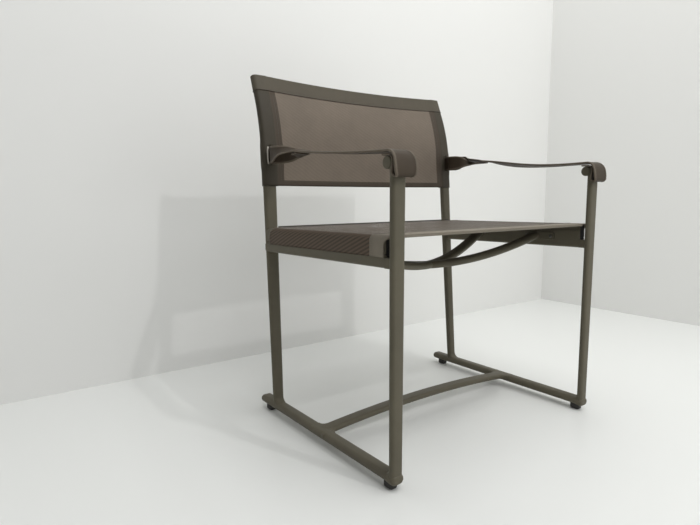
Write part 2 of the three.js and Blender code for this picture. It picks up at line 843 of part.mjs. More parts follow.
function backTopBand() {
  const outline = (z) => backOutline(z, backBandProud, 0);
  const bore = pocketBore(backBandZ - cutOver, uprightTopZ + gap);
  return loft(backStations(backBandZ + gap, backTopZ, outline))
    .subtract(bore)
    .subtract(bore.mirror([1, 0, 0]));
}

// Arm strap: folded over the front leg, drawn back along the arm, twisted upright, and taken round
// the rear upright to end under itself

// A station of the strap from its outer edge to its inner edge.
function strapStation(outer, inner, thickness, tangent) {
  const across = outer.clone().sub(inner);
  const width = across.length();
  across.normalize();
  const along = tangent.clone().addScaledVector(across, -tangent.dot(across)).normalize();
  return { at: outer.clone().add(inner).divideScalar(2), across,
    through: along.clone().cross(across), section: cutRectangle(width, thickness, strapEdge) };
}

// Width of the flap at a height: its lower corners are rounded.
function flapWidthAt(z) {
  const up = clamp(strapFlapCorner - (z - strapFlapZ), 0, strapFlapCorner);
  return strapFlapWidth - 2 * (strapFlapCorner - Math.sqrt(strapFlapCorner ** 2 - up ** 2));
}

// The flap, from its tail over the peg, down the leg, round the fold and up again to the arm.
function flapStations() {
  const list = [];
  const level = (y, z, width, thickness) => {
    const half = Math.min(width, flapWidthAt(z)) / 2;
    list.push([v3(frameHalfWidth + half, y, z), v3(frameHalfWidth - half, y, z), thickness]);
  };
  const tail = strapTailThickness;
  const tailZ = legTopZ + gap + tail / 2;
  const tailBend = legTopCorner + gap + tail / 2;
  const tailY = frontLegY - legThickness / 2 - gap - tail / 2;
  level(strapTailY, tailZ, strapWidth, tail);
  for (let step = 0; step <= bendSteps; step++) {
    const angle = (step / bendSteps) * Math.PI / 2;
    level(tailY + tailBend * (1 - Math.sin(angle)), tailZ - tailBend * (1 - Math.cos(angle)),
      strapWidth, tail);
  }
  const drape = [];
  const startZ = strapTopZ - strapThickness / 2;
  for (let step = 0; step <= bendSteps; step++) {
    const angle = (step / bendSteps) * drapeTurn;
    drape.push([drapeY - drapeRadius * Math.sin(angle), startZ - drapeRadius * (1 - Math.cos(angle))]);
  }
  const [turnY, turnZ] = drape.at(-1);
  for (let step = 1; step <= bendSteps; step++) {
    const angle = lerp(drapeTurn, drapeEndTurn, step / bendSteps);
    drape.push([turnY - drapeEndRadius * (Math.sin(angle) - Math.sin(drapeTurn)),
      turnZ - drapeEndRadius * (Math.cos(drapeTurn) - Math.cos(angle))]);
  }
  const frontY = drape.at(-1)[0] - gap;
  const foldRadius = (tailY - frontY) / 2;
  const foldZ = strapFlapZ + strapThickness / 2 + foldRadius;
  for (let step = 0; step <= 2 * bendSteps; step++) {
    const share = step / (2 * bendSteps);
    const angle = share * Math.PI;
    level((tailY + frontY) / 2 + foldRadius * Math.cos(angle), foldZ - foldRadius * Math.sin(angle),
      strapFlapWidth, lerp(tail, strapThickness, share));
  }
  drape.reverse().forEach(([y, z], k) => {
    const narrow = clamp((k - bendSteps) / bendSteps, 0, 1);
    level(y, z, lerp(strapFlapWidth, strapWidth, narrow), strapThickness);
  });
  return { list, armStart: v3(frameHalfWidth, drapeY, startZ) };
}

// The arm's run back from the leg: it climbs to the loop, sags and dips its outer edge a little.
function armRun(start, sag, tilt) {
  const stations = [];
  const rise = strapRiseZ - start.z;
  const steps = 2 * bendSteps;
  for (let step = 1; step <= steps; step++) {
    const share = step / steps;
    const y = lerp(start.y, strapJoinY, share);
    const z = start.z + rise * share ** strapClimbPower
      - sag * Math.sin(Math.PI * share ** strapSagPower);
    const dip = tilt * Math.sin(Math.PI * share ** strapTiltPower);
    const x = lerp(frameHalfWidth, uprightAt(strapLoopZ).at.x, share ** strapTiltPower);
    stations.push([v3(x + strapWidth / 2, y, z - dip), v3(x - strapWidth / 2, y, z + dip),
      strapThickness]);
  }
  return stations;
}

// Twist of the two leaves on their way to the upright, as shares of the loop's half width and half
// height: the main leaf's outer and inner edges, then the return leaf's lower and upper edges.
const leafStepShares = [0.05, 0.24, 0.32, 0.42, 0.59, 0.76, 1];
const mainOuterShares = [[1.16, 0.02], [1.16, -0.05], [1.1, -0.2], [1.04, -0.37], [0.95, -0.76],
  [0.97, -0.95], [0.98, -1]];
const mainInnerShares = [[-1.16, 0.14], [-1.1, 0.32], [-0.98, 0.39], [-0.85, 0.5], [-0.12, 0.84],
  [0.55, 0.95], [0.98, 1]];
const returnOuterShares = [[-1.1, -0.21], [-1.1, -0.34], [-1.07, -0.47], [-1.04, -0.58],
  [-1.01, -0.82], [-0.98, -0.95], [-0.98, -1]];
const returnInnerShares = [[0.98, -0.16], [0.73, -0.21], [0.37, -0.18], [-0.24, 0.1], [-0.73, 0.74],
  [-0.78, 0.95], [-0.98, 1]];

function armStrap(sag, tilt) {
  const { list, armStart } = flapStations();
  const { at } = uprightAt(strapLoopZ);
  const ease = backEase + strapLoopThickness / 2;
  const halfX = uprightWidth / 2 + ease;
  const halfZ = strapLoopWidth / 2;
  const place = ([x, z], y) => v3(at.x + x * halfX, y, strapLoopZ + z * halfZ);
  const edges = [...list, ...armRun(armStart, sag, tilt)];
  leafStepShares.forEach((share, k) => {
    const y = lerp(strapJoinY, strapTwistY, share);
    edges.push([place(mainOuterShares[k], y), place(mainInnerShares[k], y), strapLoopThickness]);
  });
  const turn = uprightThickness / 2 + ease;
  for (const side of [1, -1]) {
    const corner = [];
    const steps = arcSteps / 2;
    for (let step = 0; step <= steps; step++) {
      const angle = (step / steps) * Math.PI / 2;
      const x = at.x + side * (halfX - turn * (1 - Math.cos(angle)));
      const ends = [-1, 1].map((end) => {
        const z = strapLoopZ + end * halfZ;
        return v3(x, uprightAt(z).at.y + turn * Math.sin(angle), z);
      });
      corner.push([...ends, strapLoopThickness]);
    }
    edges.push(...(side > 0 ? corner : corner.reverse()));
  }
  [...leafStepShares].reverse().forEach((share, k) => {
    const y = lerp(strapJoinY, strapTwistY, share);
    const n = leafStepShares.length - 1 - k;
    edges.push([place(returnOuterShares[n], y), place(returnInnerShares[n], y), strapLoopThickness]);
  });
  const middles = edges.map(([outer, inner]) => outer.clone().add(inner).divideScalar(2));
  const stations = edges.map(([outer, inner, thickness], k) => {
    const before = middles[Math.max(k - 1, 0)];
    const after = middles[Math.min(k + 1, middles.length - 1)];
    return strapStation(outer, inner, thickness, after.clone().sub(before).normalize());
  });
  return loft(stations);
}

// Finishes

const finish = (color, roughness, metalness) => (
  new THREE.MeshStandardMaterial({ color, roughness, metalness }));
const coated = finish(0x58554a, 0.55, 0.3);
const mesh = finish(0x6e665c, 0.85, 0);
const smooth = finish(0x625d50, 0.7, 0);
const strapSkin = finish(0x5a5347, 0.65, 0);
const dark = finish(0x2c2a27, 0.7, 0);
const steel = finish(0x8d8d8a, 0.4, 0.9);

// The chair

const chair = new THREE.Group();

function add(name, solid, material) {
  const piece = new THREE.Mesh(geometryOf(solid), material);
  piece.name = name;
  chair.add(piece);
}

function addPair(name, solid, material) {
  add(`${name}_left`, solid, material);
  add(`${name}_right`, solid.mirror([1, 0, 0]), material);
}

addPair('runner', runnerSolid(), coated);
addPair('front_leg', frontLeg(), coated);
addPair('rear_upright', rearUpright(), coated);
addPair('seat_rail', seatRail(), coated);
addPair('arm_peg', armPeg(), coated);
add('floor_stretcher', stretcher(), coated);
addPair('front_glide', glide(frontGlideY), dark);
addPair('rear_glide', glide(rearGlideY), dark);

add('seat_brace_long', longBrace(), coated);
add('seat_brace_half_left', shortBrace(1), coated);
add('seat_brace_half_right', shortBrace(-1), coated);
addPair('front_brace_plate', bracePlate(braceFrontY), coated);
addPair('rear_brace_plate', bracePlate(braceRearY), coated);
plateScrewPlaces().forEach((place, k) => addPair(`brace_screw_${k + 1}`, plateScrew(place), steel));

addPair('seat_spline', tip(splineRod(splineDiameter, seatFrontY, seatRearY)), dark);
add('seat_sling', seatSling(), mesh);
add('seat_front_hem', seatFrontHem(), smooth);
add('seat_rear_hem', seatRearHem(), smooth);
add('back_sling', backSling(), mesh);
add('back_top_band', backTopBand(), smooth);
add('arm_strap_left', armStrap(leftStrapSag, leftStrapTilt), strapSkin);
add('arm_strap_right', armStrap(rightStrapSag, rightStrapTilt).mirror([1, 0, 0]), strapSkin);

// Stands the chair with the middle of its outline over the origin
const box = new THREE.Box3().setFromObject(chair);
const middle = box.getCenter(new THREE.Vector3());
chair.position.set(-middle.x, -middle.y, -box.min.z);
chair.updateMatrixWorld(true);

export default chair;
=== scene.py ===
"""Finishes, bars and fabric of a sling patio chair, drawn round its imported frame.

Sizes are in millimetres in the chair's own axes: +Z up, -Y to the front, +X to the sitter's left.
"""

import math

import bmesh
import bpy
from mathutils import Matrix, Vector


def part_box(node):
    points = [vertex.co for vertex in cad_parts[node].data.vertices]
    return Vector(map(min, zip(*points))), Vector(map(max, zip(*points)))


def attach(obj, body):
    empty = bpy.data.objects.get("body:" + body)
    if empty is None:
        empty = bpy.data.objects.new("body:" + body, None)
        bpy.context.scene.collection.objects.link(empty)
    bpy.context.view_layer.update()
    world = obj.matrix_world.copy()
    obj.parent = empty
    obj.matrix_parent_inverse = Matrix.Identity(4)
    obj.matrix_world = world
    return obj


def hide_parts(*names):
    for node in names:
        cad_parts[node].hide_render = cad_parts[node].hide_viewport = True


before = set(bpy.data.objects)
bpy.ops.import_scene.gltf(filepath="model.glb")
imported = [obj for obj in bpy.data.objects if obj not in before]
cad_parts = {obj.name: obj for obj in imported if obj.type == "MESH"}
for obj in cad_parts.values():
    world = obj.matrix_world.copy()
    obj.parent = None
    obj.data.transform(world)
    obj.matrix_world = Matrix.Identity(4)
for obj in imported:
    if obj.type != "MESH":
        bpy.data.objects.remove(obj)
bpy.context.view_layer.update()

MM = 0.001
QUARTER = math.pi / 2
UP = Vector((0, 0, 1))
SIDEWAYS = Vector((1, 0, 0))

# Smoothness of the curves
FEW_STEPS = 4
ROUND_STEPS = 6
CORNER_STEPS = 8
OVAL_STEPS = 10
BEND_STEPS = 10
FIELD_STEPS = 24
HEM_ROWS = 12
BACK_ROWS = 48
SEAT_ROWS = 56
SHARP_ANGLE = math.radians(38)
STRAP_SHARP_ANGLE = math.radians(60)

# Plan of the side frames
FRAME_HALF = 293.2
LEG_Y = -239
UPRIGHT_FOOT_Y = 175.5
UPRIGHT_TOE_IN = 10
TOE_IN_HEIGHT = 750

# Bars
LEG_WIDTH = 29.8
LEG_FOOT_WIDTH = 25.6
LEG_THICKNESS = 13
LEG_TOP_CORNER = 9
LEG_CROWN_DROP = 3
UPRIGHT_WIDTH = 31.6
UPRIGHT_FOOT_WIDTH = 25
UPRIGHT_FULL_Z = 500
UPRIGHT_THICKNESS = 14.5
RUNNER_WIDTH = 28.2
RUNNER_HEIGHT = 13.9
RUNNER_Z = 23.1
RUNNER_NOSE_REACH = 8.6
RUNNER_TAIL_REACH = 63
RUNNER_EDGE = 0.9
RUNNER_BELLY = 3
TOE_LENGTH = 24
TOE_DROP = 5.2
FRONT_FOOT_BEND = 16
REAR_FOOT_BEND = 22
TUCK = 0.15

# Line of the rear uprights
RAKE = math.radians(3.8)
TOP_LEAN = math.radians(21.5)
BEND_Z = 604.5
BEND_RADIUS = 430
UPRIGHT_TOP_Z = 778
BEND_TOP_Z = BEND_Z + BEND_RADIUS * (math.sin(TOP_LEAN) - math.sin(RAKE))

# Floor stretcher and glides
STRETCHER_Y = -9
STRETCHER_WIDTH = 30.5
STRETCHER_HEIGHT = 13
STRETCHER_RISE = 14.2
STRETCHER_BEND = 27
GLIDE_LENGTH = 23
GLIDE_WIDTH = 18
GLIDE_CORNER = 6
GLIDE_EDGE = 4
FRONT_GLIDE_Y = -226
REAR_GLIDE_Y = 210

# Seat rails
RAIL_WIDTH = 24
RAIL_BAR_HEIGHT = 18
RAIL_INNER_HEIGHT = 39
RAIL_HEIGHT = 53.3
RAIL_STEP = 2.3
RAIL_CORNER = 6
RAIL_TOP_CORNER = 8
RAIL_BOTTOM_Z = 384
RAIL_PITCH = math.radians(0.75)
RAIL_FILLET = 6
RAIL_LAP = 1

# Spline rods
SPLINE_DIAMETER = 4
SPLINE_HEIGHT = 23
SPLINE_INSET = 2.4

# Seat fabric
GAP = 0.3
SEAT_SKIN = 1.6
SEAT_HEM_WIDTH = 37
SEAT_HEM_LIP = 5.6
SEAT_END_GAP = 14
SEAT_FRONT_GAP = 2
SEAT_REAR_BAND = 15
SEAT_REAR_REACH = 6
SEAT_REAR_CORNER = 24
SEAT_FRONT_CORNER = 12
SEAT_DIP = 1.6
HEM_PROUD = 0.5
HEM_SKIN = 1.9
BINDING = 1.5
REAR_ROLL = 1.7
HOLLOW_WALL = 2

# Crossed braces
BRACE_WIDTH = 28
BRACE_THICKNESS = 16.5
BRACE_FRONT_Y = -105
BRACE_REAR_Y = 71
BRACE_LOW_Z = 348.9
BRACE_END_Z = 409.8
BRACE_BOW = 1.92
PLATE_REACH = 52
PLATE_SHORT_REACH = 30
PLATE_HEIGHT = 18
PLATE_THICKNESS = 3
PLATE_CORNER = 4
PLATE_EDGE = 0.7
SCREW_INSET = 8
SCREW_HEAD = 8.4
SCREW_HEAD_HEIGHT = 2.4
SCREW_SOCKET = 3.6
SCREW_CROWN = math.radians(80)
SOCKET_TAPER_SHARE = 0.92
SOCKET_FLOOR_SHARE = 0.2

# Arm pegs
PEG_DIAMETER = 21
PEG_LENGTH = 32
PEG_EDGE = 1.2
PEG_Y = -230
PEG_Z = 560.5

# Arm straps
STRAP_WIDTH = 40
STRAP_THICKNESS = 4.2
STRAP_LOOP_THICKNESS = 3
STRAP_LOOP_WIDTH = 38
STRAP_TAIL_THICKNESS = 3
STRAP_PANEL_SHARE = 0.8
STRAP_FLAP_WIDTH = 46
STRAP_FLAP_CORNER = 12
STRAP_FLAP_REACH = 3.5
STRAP_FLAP_Z = 536
STRAP_TOP_Z = 581.8
STRAP_TAIL_Y = -222
DRAPE_Y = -234.5
DRAPE_RADIUS = 21
DRAPE_TURN = math.radians(75)
DRAPE_END_RADIUS = 80
DRAPE_END_TURN = math.radians(86)
STRAP_RISE_Z = 598.7
STRAP_LOOP_Z = 598.5
STRAP_JOIN_Y = 60
STRAP_TWIST_Y = 178
STRAP_CLIMB_POWER = 1.6
STRAP_SAG_POWER = 1.2
STRAP_TILT_POWER = 2.5
LEFT_SAG, LEFT_TILT = 6.2, 4.4
RIGHT_SAG, RIGHT_TILT = 0.4, 0.8

# Back fabric
BACK_BOTTOM_Z = 530.5
BACK_BAND_Z = 746
BACK_TOP_Z = 781.5
BACK_SKIN = 1.4
BACK_EASE = 0.6
BACK_FIELD = 1.8
BACK_SEAM_X = 265
BACK_BOW = 12
BACK_FRONT = 7
BACK_HEM = 13
BAND_PROUD = 0.5
SLIT_EDGE = 1.6
SLIT_HALF = 5.2
SLIT_BEAD = 1.9
SLIT_BOW = 1.8
POCKET_SEAM_X = 251
STRAP_RIM_WIDTH = 4.8
PIPING = 1
STITCH_PITCH = 4
STITCH_LENGTH = 2.9
STITCH_RADIUS = 0.38
STITCH_INSET = 2.5
STRAP_TUCKED = 0.9
STRAP_SWELL = STRAP_TUCKED + GAP

# The frame says where the chair's own axes lie
peg_low, peg_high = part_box("arm_peg_left")
SHIFT = Vector((0, (peg_low.y + peg_high.y) / 2 - PEG_Y * MM, 0))


# Lines and outlines


def lerp(a, b, share):
    return a + (b - a) * share


def clamp(value, low=0, high=1):
    return max(low, min(high, value))


def smooth(value, low, high):
    share = clamp((value - low) / (high - low))
    return share * share * (3 - 2 * share)


def spread(start, end, steps):
    """Evenly spaced values from start to end."""
    return [lerp(start, end, k / steps) for k in range(steps + 1)]


def arc(x, y, radius, start, end, steps):
    """Points of an arc in the plane."""
    return [(x + radius * math.cos(a), y + radius * math.sin(a)) for a in spread(start, end, steps)]


def eased(radius, steps=BEND_STEPS):
    """A quarter round: pairs of how far back and how far in each of its points lies."""
    return [(radius * (1 - math.cos(a)), radius * (1 - math.sin(a))) for a in spread(0, QUARTER, steps)]


def fall_back(radius, rise):
    """How far a round corner lies back at a rise above its start."""
    return radius - math.sqrt(radius ** 2 - rise ** 2)


def flat_oval(width, thickness, inset=0):
    """A bar's section: two half circles joined by flats."""
    radius = thickness / 2 - inset
    right = arc((width - thickness) / 2, 0, radius, -QUARTER, QUARTER, OVAL_STEPS)
    return right + [(-x, -y) for x, y in right]


def round_rectangle(width, height, radius, inset=0):
    """A rectangle with round corners."""
    a, b = width / 2 - radius, height / 2 - radius
    points = []
    for k, (x, y) in enumerate([(a, b), (-a, b), (-a, -b), (a, -b)]):
        points += arc(x, y, radius - inset, k * QUARTER, (k + 1) * QUARTER, ROUND_STEPS)
    return points


def distances(points):
    """How far along a line of points each one lies."""
    total, made = 0, [0]
    for before, after in zip(points, points[1:]):
        total += (Vector(after) - Vector(before)).length
        made.append(total)
    return made


def ways(points):
    """The way that a line runs at each of its points."""
    ends = [points[0], *points, points[-1]]
    return [(after - before).normalized() for before, after in zip(ends, ends[2:])]


def beside(x, y, z):
    """A place at the left side frame, x out from its middle."""
    return Vector((FRAME_HALF + x, y, z))


# Meshes


def draw_ring(bm, points):
    """A closed loop of edges through points."""
    ring = bmesh.ops.create_circle(bm, segments=len(points), radius=1)["verts"]
    for vert, point in zip(ring, points):
        vert.co = point
    return ring


def edges_round(bm, ring):
    return [bm.edges.get((a, b)) for a, b in zip(ring, ring[1:] + ring[:1])]


def draw_out(bm, ring, points):
    """Extrudes a loop of edges to its next place."""
    made = bmesh.ops.extrude_edge_only(bm, edges=edges_round(bm, ring))["geom"]
    fresh = {piece for piece in made if isinstance(piece, bmesh.types.BMVert)}
    after = []
    for vert, point in zip(ring, points):
        partner = next(e.other_vert(vert) for e in vert.link_edges if e.other_vert(vert) in fresh)
        partner.co = point
        after.append(partner)
    return after


def loft(bm, rings):
    """A closed shell over rings of points."""
    first = ring = draw_ring(bm, rings[0])
    for points in rings[1:]:
        ring = draw_out(bm, ring, points)
    for end in (first, ring):
        bmesh.ops.contextual_create(bm, geom=edges_round(bm, end))


def bar(bm, points, section, side=None):
    """A bar along points. Its width lies along the side direction, or level where none is given."""
    rings = []
    for k, (at, way) in enumerate(zip(points, ways(points))):
        across = UP.cross(way) if side is None else side - way * side.dot(way)
        across.normalize()
        through = way.cross(across)
        outline = section[k] if isinstance(section[0], list) else section
        rings.append([at + across * x + through * y for x, y in outline])
    loft(bm, rings)


def bead(bm, points, radius, closed=False):
    """A thin round cord along a line of points."""
    sides = spread(0, 4 * QUARTER, CORNER_STEPS)[:-1]
    line = [*points, points[0], points[1]] if closed else points
    rings = []
    for at, way in zip(line, ways(line)):
        across = way.orthogonal().normalized()
        if rings:
            across = (last - way * last.dot(way)).normalized()
        last = across
        through = way.cross(across)
        rings.append([at + (across * math.cos(a) + through * math.sin(a)) * radius for a in sides])
    loft(bm, rings[:-1] if closed else rings)


def stitch(bm, points):
    """A row of thread stitches along a line of points."""
    line = [Vector(point) for point in points]
    stops = distances(line)
    count = int(stops[-1] / STITCH_PITCH)
    part = 1
    for k in range(count):
        far = (k + 1 / 2) * stops[-1] / count
        while stops[part] < far:
            part += 1
        before, after = line[part - 1], line[part]
        at = before.lerp(after, (far - stops[part - 1]) / (stops[part] - stops[part - 1]))
        turn = (after - before).to_track_quat("X", "Z").to_matrix().to_4x4()
        size = Matrix.Diagonal((STITCH_LENGTH / 2, STITCH_RADIUS, STITCH_RADIUS, 1))
        bmesh.ops.create_icosphere(bm, subdivisions=1, radius=1, matrix=Matrix.Translation(at) @ turn @ size)


def mirror_over(bm):
    """Turns a left-hand piece into its right-hand twin."""
    bmesh.ops.scale(bm, vec=(-1, 1, 1), verts=bm.verts)
    bmesh.ops.reverse_faces(bm, faces=bm.faces)


TIP = Matrix.Translation((0, 0, RAIL_BOTTOM_Z)) @ Matrix.Rotation(-RAIL_PITCH, 4, "X")


def tip(bm):
    """Puts a piece that was drawn level in the seat's own frame at its place on the chair."""
    bmesh.ops.transform(bm, matrix=TIP, verts=bm.verts)


def show(bm, name, finish):
    """Puts a mesh into the scene."""
    mesh = bpy.data.meshes.new(name)
    bm.to_mesh(mesh)
    bm.free()
    mesh.materials.append(finish)
    piece = bpy.data.objects.new(name, mesh)
    bpy.context.scene.collection.objects.link(piece)
    return piece


def stand(bm, name, node, finish, sharp=SHARP_ANGLE):
    """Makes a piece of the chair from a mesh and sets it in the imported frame, in place of its node."""
    bmesh.ops.transform(bm, matrix=Matrix.Translation(SHIFT) @ Matrix.Scale(MM, 4), verts=bm.verts)
    bmesh.ops.recalc_face_normals(bm, faces=bm.faces)
    for face in bm.faces:
        face.smooth = True
    for edge in bm.edges:
        if len(edge.link_faces) == 2:
            edge.smooth = edge.calc_face_angle() < sharp
    piece = show(bm, name, finish)
    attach(piece, "root")
    if node:
        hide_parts(node)
    return piece


def stand_one(draw, name, node, finish):
    bm = bmesh.new()
    draw(bm)
    stand(bm, name, node, finish)


def stand_pair(draw, name, node, finish):
    """A piece on each side of the chair, each in place of its packed twin."""
    for side in ("left", "right"):
        bm = bmesh.new()
        draw(bm)
        if side == "right":
            mirror_over(bm)
        stand(bm, f"{name}_{side}", node and f"{node}_{side}", finish)


# Line of the rear upright


def upright_at(z):
    """Middle and lean of the left upright at a height."""
    x = FRAME_HALF - UPRIGHT_TOE_IN * clamp((z - RUNNER_Z) / TOE_IN_HEIGHT)
    y = UPRIGHT_FOOT_Y + (min(z, BEND_Z) - RUNNER_Z) * math.tan(RAKE)
    lean = RAKE
    if z > BEND_Z:
        lean = math.asin(math.sin(RAKE) + (min(z, BEND_TOP_Z) - BEND_Z) / BEND_RADIUS)
        y += BEND_RADIUS * (math.cos(RAKE) - math.cos(lean))
        y += max(z - BEND_TOP_Z, 0) * math.tan(TOP_LEAN)
    return Vector((x, y, z)), lean


def foot_bend(line_y, rake, radius, direction):
    """A quarter bend that leads a bar down into the runner."""
    turn_z = RUNNER_Z + radius - radius * math.sin(rake)
    centre_y = line_y(turn_z) + direction * radius * math.cos(rake)
    start_z = RUNNER_Z + 2 * radius
    points = [beside(0, line_y(start_z), start_z)]
    for a in spread(rake, QUARTER, BEND_STEPS):
        points.append(beside(0, centre_y - direction * radius * math.cos(a),
                             RUNNER_Z + radius - radius * math.sin(a)))
    return [*points, beside(0, centre_y + direction * radius, RUNNER_Z)]


# Side frames

NOSE_Y = LEG_Y - RUNNER_NOSE_REACH
TAIL_Y = UPRIGHT_FOOT_Y + RUNNER_TAIL_REACH
LEG_TOP_Z = PEG_Z + PEG_DIAMETER / 2


def draw_runner(bm):
    """The bottom bar, its ends rounded and its front end deepened into a toe."""
    rings = []

    def place(y, drop, inset):
        section = flat_oval(RUNNER_WIDTH, RUNNER_HEIGHT + drop, inset)
        rings.append([beside(x, y, RUNNER_Z - drop / 2 + z) for x, z in section])

    rounding = RUNNER_HEIGHT / 2 - RUNNER_EDGE
    toe_y = NOSE_Y + TOE_LENGTH
    for back, inset in eased(rounding):
        place(NOSE_Y + back, TOE_DROP, inset)
    for y in spread(NOSE_Y + rounding, toe_y, BEND_STEPS)[1:]:
        place(y, lerp(TOE_DROP, RUNNER_BELLY, smooth(y, toe_y - TOE_LENGTH / 2, toe_y)), 0)
    for back, inset in reversed(eased(rounding)):
        place(TAIL_Y - back, RUNNER_BELLY, inset)
    loft(bm, rings)


def draw_front_leg(bm):
    """The front leg, its top front corner rounded for the strap, and the bend at its foot."""
    crown_z = LEG_TOP_Z - LEG_CROWN_DROP
    corner_z = crown_z - LEG_TOP_CORNER
    rings = []
    for z in [RUNNER_Z, *spread(corner_z, crown_z, BEND_STEPS)]:
        width = lerp(LEG_FOOT_WIDTH, LEG_WIDTH, (z - RUNNER_Z) / (LEG_TOP_Z - RUNNER_Z))
        front = fall_back(LEG_TOP_CORNER, max(z - corner_z, 0)) - LEG_THICKNESS / 2
        rings.append([beside(x, LEG_Y + max(y, front), z) for x, y in flat_oval(width, LEG_THICKNESS)])
    loft(bm, rings)
    bend = foot_bend(lambda z: LEG_Y, 0, FRONT_FOOT_BEND, 1)
    bar(bm, bend, flat_oval(LEG_FOOT_WIDTH, LEG_THICKNESS, TUCK), SIDEWAYS)


def draw_upright(bm):
    """The rear upright, raked and then leaning back, and the bend at its foot."""
    stops = [RUNNER_Z, UPRIGHT_FULL_Z, *spread(BEND_Z, BEND_TOP_Z, BEND_STEPS), UPRIGHT_TOP_Z]
    sections = []
    for z in stops:
        share = clamp((z - RUNNER_Z) / (UPRIGHT_FULL_Z - RUNNER_Z))
        sections.append(flat_oval(lerp(UPRIGHT_FOOT_WIDTH, UPRIGHT_WIDTH, share), UPRIGHT_THICKNESS))
    bar(bm, [upright_at(z)[0] for z in stops], sections, SIDEWAYS)
    bend = foot_bend(lambda z: upright_at(z)[0].y, RAKE, REAR_FOOT_BEND, -1)
    bar(bm, bend, flat_oval(UPRIGHT_FOOT_WIDTH, UPRIGHT_THICKNESS, TUCK), SIDEWAYS)


def draw_peg(bm):
    """The round peg through the top of the front leg, its edges eased."""
    profile = [(PEG_DIAMETER / 2 - inset, PEG_LENGTH / 2 - back)
               for back, inset in eased(PEG_EDGE, ROUND_STEPS)]
    profile += [(r, -x) for r, x in reversed(profile)]
    around = spread(0, 4 * QUARTER, 4 * OVAL_STEPS)[:-1]
    loft(bm, [[beside(x, PEG_Y + r * math.cos(a), PEG_Z + r * math.sin(a)) for a in around]
              for r, x in profile])


# Floor stretcher and glides


def draw_stretcher(bm):
    """The arched bar at the floor, forked at both ends."""
    def on_arch(x, y):
        return Vector((x, y, RUNNER_Z + STRETCHER_RISE * (1 - (x / FRAME_HALF) ** 2)))

    line = [on_arch(x, STRETCHER_Y) for x in spread(-FRAME_HALF, FRAME_HALF, 4 * BEND_STEPS)]
    bar(bm, line, flat_oval(STRETCHER_WIDTH, STRETCHER_HEIGHT))
    fork = [(0, 2 * STRETCHER_BEND), *eased(STRETCHER_BEND)]
    for side in (1, -1):
        for turn in (1, -1):
            points = [on_arch(side * (FRAME_HALF - inset), STRETCHER_Y + turn * back) for back, inset in fork]
            bar(bm, points, flat_oval(STRETCHER_WIDTH, STRETCHER_HEIGHT, TUCK))


def draw_glide(bm, y):
    """A foot glide with a rounded underside."""
    rings = []
    for rise, inset in eased(GLIDE_EDGE, ROUND_STEPS):
        outline = round_rectangle(GLIDE_WIDTH, GLIDE_LENGTH, GLIDE_CORNER, inset)
        rings.append([beside(px, y + py, rise) for px, py in outline])
    rings.append([Vector((p.x, p.y, RUNNER_Z - RUNNER_HEIGHT / 4)) for p in rings[-1]])
    loft(bm, rings)


# Seat rails

RAIL_INNER_X = FRAME_HALF - RAIL_WIDTH / 2
RAIL_REAR_Y = upright_at(RAIL_BOTTOM_Z + RAIL_BAR_HEIGHT)[0].y
RAIL_FIN_Y = LEG_Y + LEG_THICKNESS / 2 + SEAT_END_GAP - RAIL_STEP


def rail_outline():
    """Section of the left rail: a bar with a taller fin that the fabric wraps over."""
    half = RAIL_WIDTH / 2
    side = half - RAIL_STEP
    top = side - RAIL_TOP_CORNER
    groove = SPLINE_DIAMETER / 4
    depth = side - 2 * SPLINE_INSET
    ceiling = RAIL_HEIGHT - RAIL_TOP_CORNER
    points = arc(half - RAIL_CORNER, RAIL_CORNER, RAIL_CORNER, -QUARTER, 0, ROUND_STEPS)
    points += [(half, RAIL_BAR_HEIGHT), (side, RAIL_BAR_HEIGHT)]
    points += [(side, SPLINE_HEIGHT - groove), (depth, SPLINE_HEIGHT - groove)]
    points += [(depth, SPLINE_HEIGHT + groove), (side, SPLINE_HEIGHT + groove)]
    points += arc(top, ceiling, RAIL_TOP_CORNER, 0, QUARTER, ROUND_STEPS)
    points += arc(-top, ceiling, RAIL_TOP_CORNER, QUARTER, 2 * QUARTER, ROUND_STEPS)
    points += [(-side, RAIL_INNER_HEIGHT), (-half, RAIL_INNER_HEIGHT)]
    return points + arc(RAIL_CORNER - half, RAIL_CORNER, RAIL_CORNER, -2 * QUARTER, -QUARTER, ROUND_STEPS)


def run_along(bm, outline, rise, *ends):
    """A straight length of a section, between two places along the side frame."""
    loft(bm, [[beside(x, y, rise + z) for x, z in outline] for y in ends])


def draw_rail(bm):
    """The seat rail, with a small fillet under it at each leg."""
    run_along(bm, rail_outline(), 0, RAIL_FIN_Y, RAIL_REAR_Y)
    base = round_rectangle(RAIL_WIDTH, RAIL_BAR_HEIGHT, RAIL_STEP)
    run_along(bm, base, RAIL_BAR_HEIGHT / 2, LEG_Y, RAIL_FIN_Y + RAIL_LAP)
    half = RAIL_WIDTH / 2 - RAIL_CORNER
    for y, direction in ((LEG_Y, 1), (RAIL_REAR_Y, -1)):
        face = y + direction * LEG_THICKNESS / 2
        corner = [(face + direction * back, -inset) for back, inset in eased(RAIL_FILLET, ROUND_STEPS)]
        end = (face + direction * RAIL_FILLET, RAIL_CORNER)
        fillet = [(y, RAIL_CORNER), (y, -RAIL_FILLET), *corner, end]
        loft(bm, [[beside(x, py, pz) for py, pz in fillet] for x in (-half, half)])
    tip(bm)


def draw_rail_end_shade(bm):
    """A near-black plate in the open end of the rail's fin, behind the front leg: painted shade for the dark
    inside of the fin.
    """
    width = RAIL_WIDTH - 2 * RAIL_STEP - 2 * HOLLOW_WALL
    height = RAIL_HEIGHT - RAIL_BAR_HEIGHT - HOLLOW_WALL
    outline = round_rectangle(width, height, RAIL_TOP_CORNER - HOLLOW_WALL)
    run_along(bm, outline, RAIL_BAR_HEIGHT + height / 2, RAIL_FIN_Y - GAP, RAIL_FIN_Y + GAP)
    tip(bm)


